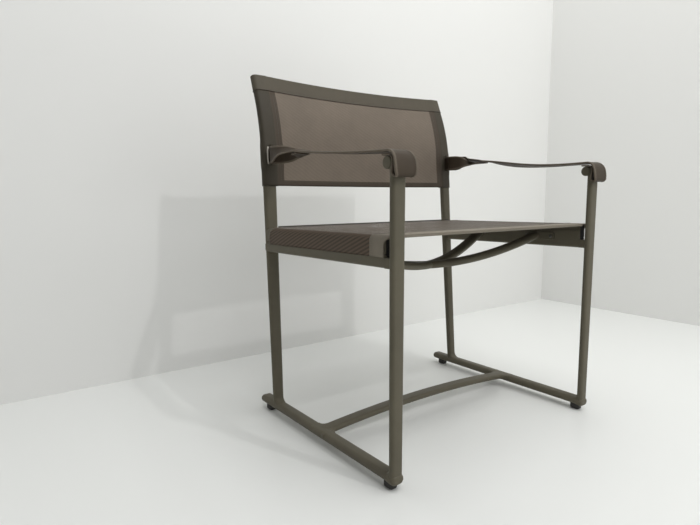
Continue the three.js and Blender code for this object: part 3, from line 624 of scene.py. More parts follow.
def draw_spline(bm):
    """The rod that holds the fabric in the rail."""
    x = RAIL_WIDTH / 2 - RAIL_STEP - SPLINE_INSET
    bead(bm, [beside(x, y, SPLINE_HEIGHT) for y in (SEAT_FRONT_Y, SEAT_REAR_Y)], SPLINE_DIAMETER / 2)
    tip(bm)


# Braces under the seat

PLATE_INNER_X = RAIL_INNER_X - GAP - PLATE_THICKNESS


def brace_line(slant, start, end, steps):
    """The line of a brace between two shares of its half length."""
    middle, half = (BRACE_FRONT_Y + BRACE_REAR_Y) / 2, (BRACE_REAR_Y - BRACE_FRONT_Y) / 2
    return [Vector((share * RAIL_INNER_X, middle - slant * share * half,
                    lerp(BRACE_LOW_Z, BRACE_END_Z, abs(share) ** BRACE_BOW)))
            for share in spread(start, end, steps)]


def draw_long_brace(bm):
    """The brace that runs through, from a front corner to the far rear corner."""
    bar(bm, brace_line(1, -1, 1, 4 * BEND_STEPS), flat_oval(BRACE_WIDTH, BRACE_THICKNESS))


def draw_short_brace(bm, side):
    """Half of the crossing brace, let into the side of the long one."""
    section = flat_oval(BRACE_WIDTH, BRACE_THICKNESS, TUCK)
    bar(bm, brace_line(-1, 0, side, 2 * BEND_STEPS), section)
    middle, over = brace_line(1, 0, 1, 1)
    square = UP.cross(over - middle).normalized()
    if square.dot(brace_line(-1, 0, side, 1)[1] - middle) < 0:
        square.negate()
    flat = (BRACE_WIDTH - BRACE_THICKNESS) / 2
    cut = bmesh.ops.bisect_plane(bm, geom=[*bm.verts, *bm.edges, *bm.faces], clear_inner=True,
                                 plane_co=middle + square * flat, plane_no=square)["geom_cut"]
    edges = [piece for piece in cut if isinstance(piece, bmesh.types.BMEdge)]
    bmesh.ops.contextual_create(bm, geom=edges)


def plate_span(end_y):
    """Where the plate at the end of a brace begins and ends along the rail."""
    outward = 1 if end_y > BRACE_FRONT_Y else -1
    return sorted([end_y - outward * PLATE_SHORT_REACH, end_y + outward * PLATE_REACH])


def draw_plate(bm, end_y):
    """The plate that carries a brace on the rail, its edges eased."""
    start, end = plate_span(end_y)
    rings = []
    for x, inset in ((PLATE_THICKNESS, 0), (PLATE_EDGE, 0), (0, PLATE_EDGE)):
        outline = round_rectangle(end - start, PLATE_HEIGHT, PLATE_CORNER, inset)
        at = Vector((PLATE_INNER_X + x, (start + end) / 2, BRACE_END_Z))
        rings.append([at + Vector((0, y, z)) for y, z in outline])
    loft(bm, rings)


def draw_screw(bm, y):
    """A button-head screw with a socket in its head."""
    face, head, socket = PLATE_INNER_X - GAP, SCREW_HEAD / 2, SCREW_SOCKET / 2
    rise = SCREW_HEAD_HEIGHT
    profile = [(head / 2, -rise), (head / 2, 0)]
    profile += [(lerp(head, socket, 1 - math.cos(a)), rise * math.sin(a))
                for a in spread(0, SCREW_CROWN, ROUND_STEPS)]
    profile += [(socket, rise), (socket * SOCKET_TAPER_SHARE, rise * SOCKET_FLOOR_SHARE)]
    around = spread(0, 4 * QUARTER, 4 * ROUND_STEPS)[:-1]
    loft(bm, [[Vector((face - x, y + r * math.cos(a), BRACE_END_Z + r * math.sin(a))) for a in around]
              for r, x in profile])


# Seat fabric, drawn level in the seat's own frame

SEAT_FRONT_Y = LEG_Y + LEG_THICKNESS / 2 + SEAT_END_GAP
SEAT_LIP_Y = LEG_Y + LEG_THICKNESS / 2 + SEAT_FRONT_GAP
SEAT_HEM_Y = SEAT_FRONT_Y + SEAT_HEM_WIDTH
SEAT_REAR_Y = upright_at(RAIL_BOTTOM_Z + RAIL_HEIGHT)[0].y - UPRIGHT_THICKNESS / 2 - SEAT_END_GAP
SEAT_TOP = RAIL_HEIGHT + GAP + SEAT_SKIN
SEAT_FIELD_HALF = FRAME_HALF - RAIL_WIDTH / 2 - GAP - SEAT_SKIN
SEAT_SIDE_LOW = RAIL_BAR_HEIGHT + GAP
SEAT_BINDING_Y = SEAT_REAR_Y + SEAT_REAR_REACH - SEAT_REAR_BAND / 2


def seat_profile(off):
    """Path of the fabric over both rails, a little off them, as places in x and z."""
    outer = FRAME_HALF + RAIL_WIDTH / 2 - RAIL_STEP + GAP + off
    top = RAIL_HEIGHT + GAP + off
    radius = RAIL_TOP_CORNER + GAP + off
    inner = SEAT_FIELD_HALF - RAIL_STEP
    path = [(outer, z) for z in spread(SEAT_SIDE_LOW, top - radius, ROUND_STEPS)]
    path += arc(outer - radius, top - radius, radius, 0, QUARTER, CORNER_STEPS)[1:]
    path += [(x, top) for x in spread(outer - radius, inner, FEW_STEPS + 1)[1:]]
    path += [(x, top) for x in spread(inner, 0, FIELD_STEPS)[1:]]
    return path + [(-x, z) for x, z in reversed(path[:-1])]


def seat_rear(x, z):
    """Where the seat fabric ends at the rear: rounded off over the rails."""
    rise = clamp(z - SEAT_TOP + SEAT_REAR_CORNER, 0, SEAT_REAR_CORNER)
    over_rail = SEAT_REAR_Y - fall_back(SEAT_REAR_CORNER, rise)
    edge = smooth(abs(x), SEAT_FIELD_HALF - 4 * RAIL_STEP, SEAT_FIELD_HALF + RAIL_STEP)
    return lerp(SEAT_BINDING_Y, over_rail, edge)


def seat_front(x, z):
    """Where the front hem begins: it curves back over the rails, under the lip."""
    fall = clamp(SEAT_TOP - SEAT_HEM_LIP - z, 0, SEAT_FRONT_CORNER)
    back = math.sqrt(1 - (1 - fall / SEAT_FRONT_CORNER) ** 2)
    return lerp(SEAT_LIP_Y, SEAT_FRONT_Y, back)


def draw_sheet(bm, place, across, along):
    """A sheet of cloth: a grid put in place point by point. It carries its place in the cloth."""
    weave = bm.verts.layers.float_vector.new("weave")
    columns, rows = len(across) - 1, len(along) - 1
    grid = bmesh.ops.create_grid(bm, x_segments=columns, y_segments=rows, size=1)["verts"]
    where = {}
    for vert in grid:
        i, j = round((vert.co.x + 1) / 2 * columns), round((vert.co.y + 1) / 2 * rows)
        where[vert] = i, j
        vert.co = place(i, j)
        vert[weave] = Vector((across[i] - across[-1] / 2, along[j], 0)) * MM
    return where


def stand_sheet(bm, name, node, finish, skin):
    """Stands a stretched sheet, its thickness on both sides of its middle."""
    piece = stand(bm, name, node, finish)
    wall = piece.modifiers.new("thickness", "SOLIDIFY")
    wall.thickness = skin * MM
    wall.offset = 0
    wall.use_even_offset = True


def make_seat_sheet(name, node, finish, skin, off, edges, along, dip=0):
    """A sheet over both rails, between its front and rear edges, that may dip between them."""
    path = seat_profile(off)
    shares = spread(0, 1, len(along) - 1)

    def place(i, j):
        x, z = path[i]
        inside = 1 - clamp(abs(x) / SEAT_FIELD_HALF) ** 2
        fall = dip * inside * math.sin(math.pi * shares[j]) ** 2
        return Vector((x, lerp(*edges(x, z), shares[j]), z - fall))

    across = distances(path)
    bm = bmesh.new()
    draw_sheet(bm, place, across, along)
    tip(bm)
    stand_sheet(bm, name, node, finish, skin)


def make_seat_sling(finish):
    """The seat fabric, stretched over both rails and dipping a little between them."""
    start = SEAT_HEM_Y - 2 * HEM_SKIN
    make_seat_sheet("seat_mesh", "seat_sling", finish, SEAT_SKIN, SEAT_SKIN / 2,
                    lambda x, z: (start, seat_rear(x, z)), spread(start, SEAT_REAR_Y, SEAT_ROWS), SEAT_DIP)


def make_seat_front_hem(finish):
    """The smooth hem over the front of the seat."""
    make_seat_sheet("seat_hem_front", "seat_front_hem", finish, HEM_SKIN,
                    SEAT_SKIN + HEM_PROUD - HEM_SKIN / 2, lambda x, z: (seat_front(x, z), SEAT_HEM_Y),
                    spread(0, SEAT_HEM_Y - SEAT_LIP_Y, HEM_ROWS))


def draw_seat_lip(bm):
    """The rolled edge along the front of the seat."""
    half = FRAME_HALF - LEG_WIDTH / 2 - GAP
    top = SEAT_TOP + HEM_PROUD - TUCK
    radius = SEAT_HEM_LIP / 2
    outline = [(SEAT_LIP_Y + 4 * radius, top)]
    outline += arc(SEAT_LIP_Y + radius, top - radius, radius, QUARTER, 3 * QUARTER, 2 * ROUND_STEPS)
    outline += [(SEAT_LIP_Y + 4 * radius, top - 2 * radius)]
    loft(bm, [[Vector((x, y, z)) for y, z in outline] for x in spread(-half, half, CORNER_STEPS)])
    tip(bm)


def draw_seat_rear_hem(bm):
    """The binding along the rear edge of the seat, with a roll behind it."""
    half = SEAT_FIELD_HALF - SEAT_SKIN
    depth = SEAT_SKIN + 2 * HEM_PROUD
    line = [SIDEWAYS * x for x in spread(-half, half, FEW_STEPS)]
    middle = Vector((0, SEAT_BINDING_Y, SEAT_TOP + HEM_PROUD - depth / 2))
    bar(bm, [middle + x for x in line], flat_oval(SEAT_REAR_BAND, depth))
    roll = Vector((0, SEAT_BINDING_Y + SEAT_REAR_BAND / 2 - REAR_ROLL, SEAT_TOP + REAR_ROLL / 2))
    bead(bm, [roll + x for x in line], REAR_ROLL)
    tip(bm)


def draw_sleeve_binding(bm):
    """The binding down the rear end of the sleeve over the rail."""
    path = [(x, z) for x, z in seat_profile(SEAT_SKIN / 2) if x > SEAT_FIELD_HALF - 4 * RAIL_STEP]
    bead(bm, [Vector((x, seat_rear(x, z), z)) for x, z in path], BINDING)
    tip(bm)


# Back fabric

SLIT_REACH = STRAP_LOOP_WIDTH / 2 + SLIT_EDGE
POCKET_DEEP = UPRIGHT_THICKNESS / 2 + BACK_EASE + BACK_SKIN


def swell_at(z):
    """How far the pocket stands off the upright to let the strap pass round inside it."""
    reach = STRAP_LOOP_WIDTH / 2
    return STRAP_SWELL * (1 - smooth(abs(z - STRAP_LOOP_Z) - reach, GAP, reach))


def back_curve(x, seam=BACK_SEAM_X):
    """How far back the fabric lies between its seams, where it bows."""
    return -BACK_FRONT + BACK_BOW * (1 - (x / seam) ** 2)


def back_half(z):
    """The fabric's path in a cut square to the upright, from the middle round the left pocket and
    back to its seam: places in x and y, each with the part of the path that it lies on."""
    swell = swell_at(z)
    pocket = upright_at(z)[0].x
    deep = POCKET_DEEP - BACK_SKIN / 2 + swell
    flat = pocket + (UPRIGHT_WIDTH - UPRIGHT_THICKNESS) / 2
    seam = BACK_SEAM_X - swell
    shoulder = pocket - UPRIGHT_WIDTH / 2 + BACK_SKIN - swell

    def to_pocket(x, start, end):
        return lerp(start, end, clamp((x - seam) / (shoulder - seam)))

    path = [(x, back_curve(x, seam), "field") for x in spread(0, seam, 2 * BEND_STEPS)]
    for end, part, steps in ((pocket - SLIT_HALF, "front", CORNER_STEPS),
                             (pocket + SLIT_HALF, "slit", FEW_STEPS // 2), (flat, "front", FEW_STEPS // 2)):
        path += [(x, to_pocket(x, -BACK_FRONT, -deep), part) for x in spread(path[-1][0], end, steps)[1:]]
    path += [(x, y, "outer") for x, y in arc(flat, 0, deep, -QUARTER, QUARTER, 2 * CORNER_STEPS)[1:]]
    for start, end in ((flat, shoulder), (shoulder, seam)):
        path += [(x, to_pocket(x, BACK_SKIN - BACK_FRONT, deep), "rear")
                 for x in spread(start, end, FEW_STEPS)[1:]]
    path += [(x, back_curve(x, seam) + BACK_SKIN, "seam")
             for x in spread(seam, POCKET_SEAM_X, FEW_STEPS // 2)[1:]]
    return path


def back_place(z, x, y):
    """A place of the path, on the chair."""
    at, lean = upright_at(z)
    return Vector((x, at.y + y * math.cos(lean), z - y * math.sin(lean)))


def back_path(z):
    """The whole path at a height, from one pocket's seam to the other's."""
    half = back_half(z)
    return [(-x, y, part) for x, y, part in reversed(half[1:])] + half


def back_heights():
    """Heights of the rows of the back, one of them at each end of the slits."""
    ends = {STRAP_LOOP_Z - SLIT_REACH, STRAP_LOOP_Z + SLIT_REACH}
    near = (BACK_BAND_Z - BACK_BOTTOM_Z) / BACK_ROWS / 2
    stops = spread(BACK_BOTTOM_Z, BACK_BAND_Z, BACK_ROWS)
    return sorted(ends | {z for z in stops if all(abs(z - end) > near for end in ends)})


def make_back_sling(finish):
    """The back fabric with its pockets over the uprights, open where the straps come out."""
    heights = back_heights()
    paths = [back_path(z) for z in heights]
    across = distances([(x, y) for x, y, part in paths[0]])
    along = distances([upright_at(z)[0] for z in heights])
    bm = bmesh.new()
    where = draw_sheet(bm, lambda i, j: back_place(heights[j], *paths[j][i][:2]), across, along)
    middle = len(across) // 2
    gone = []
    for face in bm.faces:
        columns, rows = zip(*[where[vert] for vert in face.verts])
        outward = max(columns) if min(columns) >= middle else min(columns)
        level = max(abs(heights[j] - STRAP_LOOP_Z) for j in rows) < SLIT_REACH + GAP
        if level and paths[0][outward][2] == "slit":
            gone.append(face)
    bmesh.ops.delete(bm, geom=gone, context="FACES")
    stand_sheet(bm, "back_mesh", "back_sling", finish, BACK_SKIN)


def band_outline(z, inset):
    """Outline of the top band in a cut square to the uprights, from the left pocket round."""
    grow = BAND_PROUD - inset
    pocket = upright_at(z)[0].x
    deep = POCKET_DEEP + grow
    section = flat_oval(UPRIGHT_WIDTH - UPRIGHT_THICKNESS + 2 * deep, 2 * deep)
    shoulder = pocket - UPRIGHT_WIDTH / 2 + BACK_SKIN
    left = [*((x + pocket, y) for x, y in section if x > 0), (shoulder, deep)]
    field = BACK_FIELD / 2 + grow
    stops = spread(-BACK_SEAM_X, BACK_SEAM_X, 4 * BEND_STEPS)
    rear = [(x, back_curve(x) + field) for x in reversed(stops)]
    right = [(-x, y) for x, y in reversed(left)]
    front = [(x, back_curve(x) - field) for x in stops]
    return left + rear + right + [(-shoulder, -deep), *front, (shoulder, -deep)]


def draw_back_band(bm):
    """The smooth band along the top of the back, closed over the uprights, its top edge rounded."""
    rounding = BACK_FIELD / 2 + BAND_PROUD - GAP
    stops = [(z, 0) for z in spread(BACK_BAND_Z + GAP, BACK_TOP_Z - rounding, CORNER_STEPS)]
    stops += [(BACK_TOP_Z - down, inset) for inset, down in eased(rounding, ROUND_STEPS)[1:]]
    loft(bm, [[back_place(z, x, y) for x, y in band_outline(z, inset)] for z, inset in stops])


def draw_slit_rim(bm):
    """The pale cut edge of a pocket's opening, at the outer side of the strap."""
    line = []
    for share in spread(-1, 1, 2 * CORNER_STEPS):
        z = STRAP_LOOP_Z + share * STRAP_LOOP_WIDTH / 2
        x = upright_at(z)[0].x + SLIT_HALF + SLIT_BOW * (1 - share ** 4)
        line.append(back_place(z, x, -POCKET_DEEP - STRAP_SWELL))
    bead(bm, line, SLIT_BEAD)


def draw_band_piping(bm):
    """The piped lower edge of the top band."""
    z = BACK_BAND_Z + PIPING
    bead(bm, [back_place(z, x, y) for x, y in band_outline(z, 0)], PIPING, closed=True)


def draw_back_stitches(bm):
    """Stitches along the band, down both pockets and along the lower hem, before and behind."""
    skin = BACK_SKIN / 2 + STITCH_RADIUS / 2
    shell = BACK_FIELD / 2 + BAND_PROUD + STITCH_RADIUS / 2

    def row(z, reach, off):
        stitch(bm, [back_place(z, x, back_curve(x) + off) for x in spread(-reach, reach, FIELD_STEPS)])

    heights = spread(BACK_BOTTOM_Z + BACK_HEM, BACK_BAND_Z - PIPING, FIELD_STEPS)
    for off in (-skin, BACK_SKIN + skin):
        for side in (1, -1):
            for x in (POCKET_SEAM_X + STITCH_INSET, POCKET_SEAM_X + 3 * STITCH_INSET):
                stitch(bm, [back_place(z, side * x, back_curve(x) + off) for z in heights])
    for side in (-1, 1):
        row(BACK_BOTTOM_Z + BACK_HEM - STITCH_INSET, POCKET_SEAM_X, side * skin)
        row(BACK_BAND_Z + 2 * PIPING + STITCH_INSET, BACK_SEAM_X, side * shell)


def draw_seat_stitches(bm):
    """Stitches over the seat along its front hem, and along the rear binding."""
    path = seat_profile(SEAT_SKIN + HEM_PROUD + STITCH_RADIUS / 2)
    for y in (SEAT_HEM_Y - STITCH_INSET, SEAT_HEM_Y - 3 * STITCH_INSET):
        stitch(bm, [Vector((x, y, z)) for x, z in path])
    z = SEAT_TOP + HEM_PROUD + STITCH_RADIUS / 2
    y = SEAT_REAR_Y + SEAT_REAR_REACH - SEAT_REAR_BAND + 2 * STITCH_INSET
    reach = SEAT_FIELD_HALF - SEAT_SKIN
    stitch(bm, [Vector((x, y, z)) for x in spread(-reach, reach, FEW_STEPS)])
    tip(bm)


# Arm straps

# Points round a rim and over half the panel, stations filled in along the twist, and the station where
# the stitches start
STRAP_RIM_STEPS = 5
STRAP_FILL = 3
STITCH_START = 3


def flap_edges():
    """The strap from its tail over the peg, down the leg, round the fold and up to the arm: pairs of
    outer and inner edge, with the thickness there."""
    edges = []

    def level(y, z, width, thickness):
        up = clamp(STRAP_FLAP_CORNER - (z - STRAP_FLAP_Z), 0, STRAP_FLAP_CORNER)
        half = min(width / 2, STRAP_FLAP_WIDTH / 2 - fall_back(STRAP_FLAP_CORNER, up))
        reach = STRAP_FLAP_REACH * clamp((width - STRAP_WIDTH) / (STRAP_FLAP_WIDTH - STRAP_WIDTH))
        edges.append((beside(half, y, z), beside(-half - reach, y, z), thickness))

    tail = STRAP_TAIL_THICKNESS
    tail_z = LEG_TOP_Z + GAP + tail / 2
    tail_y = LEG_Y - LEG_THICKNESS / 2 - GAP - tail / 2
    level(STRAP_TAIL_Y, tail_z, STRAP_WIDTH, tail)
    for drop, back in eased(LEG_TOP_CORNER + GAP + tail / 2):
        level(tail_y + back, tail_z - drop, STRAP_WIDTH, tail)
    start_z = STRAP_TOP_Z - STRAP_THICKNESS / 2
    drape = [(DRAPE_Y, start_z)]
    for radius, first, last in ((DRAPE_RADIUS, 0, DRAPE_TURN),
                                (DRAPE_END_RADIUS, DRAPE_TURN, DRAPE_END_TURN)):
        y, z = drape[-1]
        drape += [(y - radius * (math.sin(a) - math.sin(first)), z - radius * (math.cos(first) - math.cos(a)))
                  for a in spread(first, last, BEND_STEPS)[1:]]
    front_y = drape[-1][0] - GAP
    fold = (tail_y - front_y) / 2
    fold_z = STRAP_FLAP_Z + STRAP_THICKNESS / 2 + fold
    for share in spread(0, 1, 2 * BEND_STEPS):
        a = share * 2 * QUARTER
        level((tail_y + front_y) / 2 + fold * math.cos(a), fold_z - fold * math.sin(a),
              STRAP_FLAP_WIDTH, lerp(tail, STRAP_THICKNESS, share))
    for k, (y, z) in enumerate(reversed(drape)):
        narrow = clamp((k - BEND_STEPS) / BEND_STEPS)
        level(y, z, lerp(STRAP_FLAP_WIDTH, STRAP_WIDTH, narrow), STRAP_THICKNESS)
    return edges, beside(0, DRAPE_Y, start_z)


def arm_edges(start, sag, tilt):
    """The arm's run back from the leg: it climbs, sags and dips its outer edge a little."""
    edges = []
    for share in spread(0, 1, 2 * BEND_STEPS)[1:]:
        climb = (STRAP_RISE_Z - start.z) * share ** STRAP_CLIMB_POWER
        x = lerp(FRAME_HALF, upright_at(STRAP_LOOP_Z)[0].x, share ** STRAP_TILT_POWER)
        y = lerp(start.y, STRAP_JOIN_Y, share)
        z = start.z + climb - sag * math.sin(math.pi * share ** STRAP_SAG_POWER)
        half = Vector((STRAP_WIDTH / 2, 0, -tilt * math.sin(math.pi * share ** STRAP_TILT_POWER)))
        edges.append((Vector((x, y, z)) + half, Vector((x, y, z)) - half, STRAP_THICKNESS))
    return edges


# The strap's way in at the slit: how far it lies beside and before the middle of the upright, and how
# thick it is there
THROAT_SIDES = [10.6, 7.8, 5.4, 3.8, 2.8, 2.6, 3.2, 5.2]
THROAT_DEPTHS = [31.5, 26.5, 21.5, 16.6, 13, 10.6, 8.8, 8]
THROAT_THICKNESSES = [3, 3, 3, 3, 2.7, 1.9, 1.1, STRAP_TUCKED]

# Twist of the two leaves on their way to the upright, as shares of the loop's half width and half
# height: the main leaf's outer and inner edges, then the return leaf's lower and upper edges
LEAF_STEP_SHARES = [0.05, 0.24, 0.32, 0.42, 0.59, 0.76, 0.88, 1]
MAIN_OUTER_SHARES = [(1.16, 0.02), (1.16, 0), (1.14, -0.03), (1.1, -0.07), (1.03, -0.16), (0.94, -0.46),
                     (0.84, -0.86), (0.72, -1)]
MAIN_INNER_SHARES = [(-1.16, 0.14), (-1.1, 0.32), (-0.98, 0.39), (-0.85, 0.5), (-0.12, 0.84),
                     (0.45, 0.95), (0.64, 0.99), (0.72, 1)]
RETURN_OUTER_SHARES = [(-1.1, -0.21), (-1.1, -0.34), (-1.07, -0.47), (-1.04, -0.58), (-1.01, -0.82),
                       (-0.94, -0.95), (-0.84, -0.99), (-0.72, -1)]
RETURN_INNER_SHARES = [(0.98, -0.16), (0.73, -0.21), (0.37, -0.18), (-0.24, 0.1), (-0.7, 0.74),
                       (-0.74, 0.95), (-0.74, 0.99), (-0.72, 1)]


def leaf_edges(outer_shares, inner_shares):
    """The leaf of the strap between the arm and the upright."""
    x = upright_at(STRAP_LOOP_Z)[0].x
    half_x = UPRIGHT_WIDTH / 2 + BACK_EASE + STRAP_LOOP_THICKNESS / 2
    half_z = STRAP_LOOP_WIDTH / 2
    edges = []
    for share, *pair in zip(LEAF_STEP_SHARES, outer_shares, inner_shares):
        y = lerp(STRAP_JOIN_Y, STRAP_TWIST_Y, share)
        ends = [Vector((x + across * half_x, y, STRAP_LOOP_Z + up * half_z)) for across, up in pair]
        edges.append((*ends, STRAP_LOOP_THICKNESS))
    return edges


def loop_edges():
    """The strap's way in through the pocket's front, round the back of the upright and out again."""
    turn = UPRIGHT_THICKNESS / 2 + GAP + STRAP_TUCKED / 2
    flat = (UPRIGHT_WIDTH - UPRIGHT_THICKNESS) / 2
    line = [(x, -y, thickness) for x, y, thickness in zip(THROAT_SIDES, THROAT_DEPTHS, THROAT_THICKNESSES)]
    line += [(x, y, STRAP_TUCKED) for x, y in arc(flat, 0, turn, -QUARTER, QUARTER, 2 * BEND_STEPS)]
    line += [(-x, y, thickness) for x, y, thickness in reversed(line)]
    middle = upright_at(STRAP_LOOP_Z)[0].x
    heights = (STRAP_LOOP_Z - STRAP_LOOP_WIDTH / 2, STRAP_LOOP_Z + STRAP_LOOP_WIDTH / 2)
    return [(*[Vector((middle + x, upright_at(z)[0].y + y, z)) for z in heights], thickness)
            for x, y, thickness in line]


def refine(edges, times):
    """Fills in a line of edge pairs with a smooth curve through them."""
    ends = [edges[0], *edges, edges[-1]]
    made = [edges[0]]
    for near in zip(ends, ends[1:], ends[2:], ends[3:]):
        for s in spread(0, 1, times)[1:]:
            weights = [(-s + 2 * s ** 2 - s ** 3) / 2, (2 - 5 * s ** 2 + 3 * s ** 3) / 2,
                       (s + 4 * s ** 2 - 3 * s ** 3) / 2, (s ** 3 - s ** 2) / 2]
            made.append(tuple(sum((w * edge[k] for w, edge in zip(weights, near)), edges[0][k] * 0)
                              for k in range(3)))
    return made


def strap_section(half, thickness):
    """Half of a strap's section, on its upper side: thick round rims and a thinner panel between."""
    radius = thickness / 2
    panel = radius * STRAP_PANEL_SHARE
    rim = half - radius
    stop = half - STRAP_RIM_WIDTH
    points = arc(rim, 0, radius, 0, QUARTER, STRAP_RIM_STEPS)
    points += [(lerp(rim, stop, share), radius) for share in (1 / 3, 2 / 3)]
    points += [(stop, lerp(radius, panel, 1 / 2)), (stop - radius / 3, panel)]
    return points + [(x, panel) for x in spread(stop - radius / 3, 0, STRAP_FILL)[1:]]


def stations(edges):
    """Along pairs of edges: the middle, the ways across and through, the half width, the thickness."""
    middles = [(outer + inner) / 2 for outer, inner, thickness in edges]
    made = []
    for (outer, inner, thickness), middle, way in zip(edges, middles, ways(middles)):
        across = (outer - inner).normalized()
        through = (way - across * way.dot(across)).normalized().cross(across)
        made.append((middle, across, through, (outer - inner).length / 2, thickness))
    return made


def draw_strap(bm, line):
    """The strap through its stations. It carries its place in the cloth, and where its rims are."""
    weave = bm.verts.layers.float_vector.new("weave")
    rings, spots = [], []
    for (middle, across, through, half, thickness), far in zip(line, distances([stop[0] for stop in line])):
        upper = strap_section(half, thickness)
        outline = upper + [(-x, y) for x, y in reversed(upper[:-1])]
        outline += [(x, -y) for x, y in reversed(outline[1:-1])]
        rings.append([middle + across * x + through * y for x, y in outline])
        spots += [(x * MM, far * MM, float(abs(x) > half - STRAP_RIM_WIDTH)) for x, y in outline]
    loft(bm, rings)
    bm.verts.index_update()
    for vert, spot in zip(bm.verts, spots):
        vert[weave] = spot


def draw_strap_stitches(bm, line):
    """Two rows of stitches inside the rims, on both faces of the strap."""
    for face in (1, -1):
        for hand in (1, -1):
            row = []
            for middle, across, through, half, thickness in line[STITCH_START:]:
                reach = half - STRAP_RIM_WIDTH - STITCH_RADIUS
                rise = thickness / 2 * STRAP_PANEL_SHARE + STITCH_RADIUS / 3
                row.append(middle + across * hand * reach + through * face * rise)
            stitch(bm, row)


def make_strap(side, sag, tilt):
    """An arm strap, from its tail over the front leg to its end under itself, and its stitches."""
    flap, start = flap_edges()
    arm = arm_edges(start, sag, tilt)
    leaves = leaf_edges(MAIN_OUTER_SHARES, MAIN_INNER_SHARES)
    returning = leaf_edges(RETURN_OUTER_SHARES, RETURN_INNER_SHARES)[::-1]
    line = stations(flap + arm[:-1] + refine([arm[-1], *leaves, *loop_edges(), *returning], STRAP_FILL))
    strap, sewing = bmesh.new(), bmesh.new()
    draw_strap(strap, line)
    draw_strap_stitches(sewing, line[:len(flap) + len(arm) - 1])
    if side == "right":
        mirror_over(strap)
        mirror_over(sewing)
    stand(sewing, f"strap_stitches_{side}", None, strap_thread)
    stand(strap, f"strap_{side}", f"arm_strap_{side}", strap_cloth, STRAP_SHARP_ANGLE)


# Finishes


def color(red, green, blue):
    return (red, green, blue, 1.0)


COAT_COLOR = color(0.112, 0.1, 0.07)
MESH_WARP = color(0.112, 0.088, 0.068)
MESH_WEFT = color(0.092, 0.079, 0.063)
MESH_DOUBLE = color(0.066, 0.051, 0.037)
POCKET_COLOR = color(0.053, 0.045, 0.032)
SEAT_DOUBLE = color(0.088, 0.063, 0.043)
# Painted light: the hem's copy of the binding cloth is made lighter, as lit from the front
LIT_HEM_COLOR = color(0.205, 0.18, 0.142)
REAR_COLOR = color(0.04, 0.034, 0.025)
# Painted shade: the top band's copy of the same binding cloth is made darker
SHADED_BAND_COLOR = color(0.088, 0.076, 0.056)
STRAP_PANEL = color(0.054, 0.04, 0.027)
STRAP_RIM = color(0.125, 0.102, 0.076)
THREAD_COLOR = color(0.1, 0.09, 0.07)
STRAP_THREAD_COLOR = color(0.07, 0.056, 0.042)
CORE_COLOR = color(0.6, 0.56, 0.49)
RUBBER_COLOR = color(0.03, 0.028, 0.025)
# Painted shade: near black for the dark inside of the rail's open fin end
PAINTED_SHADE_COLOR = color(0.008, 0.008, 0.007)
PLASTIC_COLOR = color(0.025, 0.024, 0.022)
ZINC_COLOR = color(0.16, 0.155, 0.145)
WALL_COLOR = color(0.82, 0.82, 0.8)
FLOOR_COLOR = color(0.8, 0.81, 0.79)
SKY_COLOR = color(0.96, 0.98, 1.0)

# Roughness of the plain finishes, and how strongly surfaces glint
HARD = 0.5
THREADY = 0.6
CHALKY = 0.7
DEAD = 0.9
FLOOR_ROUGHNESS = 0.35
CLOTH_GLINT = 0.2
STRAP_GLINT = 0.22
COAT_GLINT = 0.25
ROOM_GLINT = 0.3

# Surfaces: scale of the grain, roughness, depth of the relief in metres and its strength
COAT_SURFACE = (1400.0, 0.5, 0.00006, 0.5)
MESH_SURFACE = (900.0, 0.52, 0.0003, 0.6)
CLOTH_SURFACE = (700.0, 0.6, 0.00012, 0.5)
STRAP_SURFACE = (800.0, 0.55, 0.00015, 0.5)
PLAIN_GRAIN = 900.0
PLAIN_RELIEF = (0.00005, 0.4)
MESH_GRAIN_SHARE = 0.2
CLOTH_GRAIN_SHARE = 0.5

# Weaves and their patterns, in metres of cloth
MESH_PITCH = 0.0021
MESH_COVER = 0.61
CLOTH_PITCH = 0.0009
STRAP_PITCH = 0.0011
LOW_THREAD = 0.4
POCKET_OVERLAP = 0.018
STREAK_PITCH = 0.0085
STREAK_SLANT = 0.55
STREAK_SWAY = 0.012
STREAK_SCALE = 14.0
STREAKS = 0.05
STRIPE_PITCH = 0.0175
STRIPE_SLANT = 2.4
STRIPE_FADE = (0.004, 0.012)
STRIPE_EDGE = 0.8
STRIPES = 0.34
# Painted light: factors on the same yarn colours, the back's mesh made much lighter than the seat's for the
# light that falls on and through it
BACK_PAINTED_LIGHT = 1.9
SEAT_PAINTED_LIGHT = 1.12
NO_HEM = -1.0
RIM_SPAN = (0.4, 0.6)

# Wear: scale of the patches, the span of noise that counts, and the change of tone or roughness
PATCH_SCALE = 9.0
CLOUD_SCALE = 60.0
GRAIN_DETAIL = 3.0
NOISE_SPAN = (0.3, 0.7)
GRAIN_SPAN = (0.35, 0.65)
PATCH_TONES = (0.93, 1.05)
PATCH_ROUGHNESS = (-0.04, 0.05)
CLOUD_TONES = (-0.02, 0.02)
GRAIN_TONES = (-0.03, 0.03)


def feed(tree, socket, value):
    """Links a socket to another one, or sets its value."""
    if isinstance(value, bpy.types.NodeSocket):
        tree.links.new(value, socket)
    else:
        socket.default_value = value


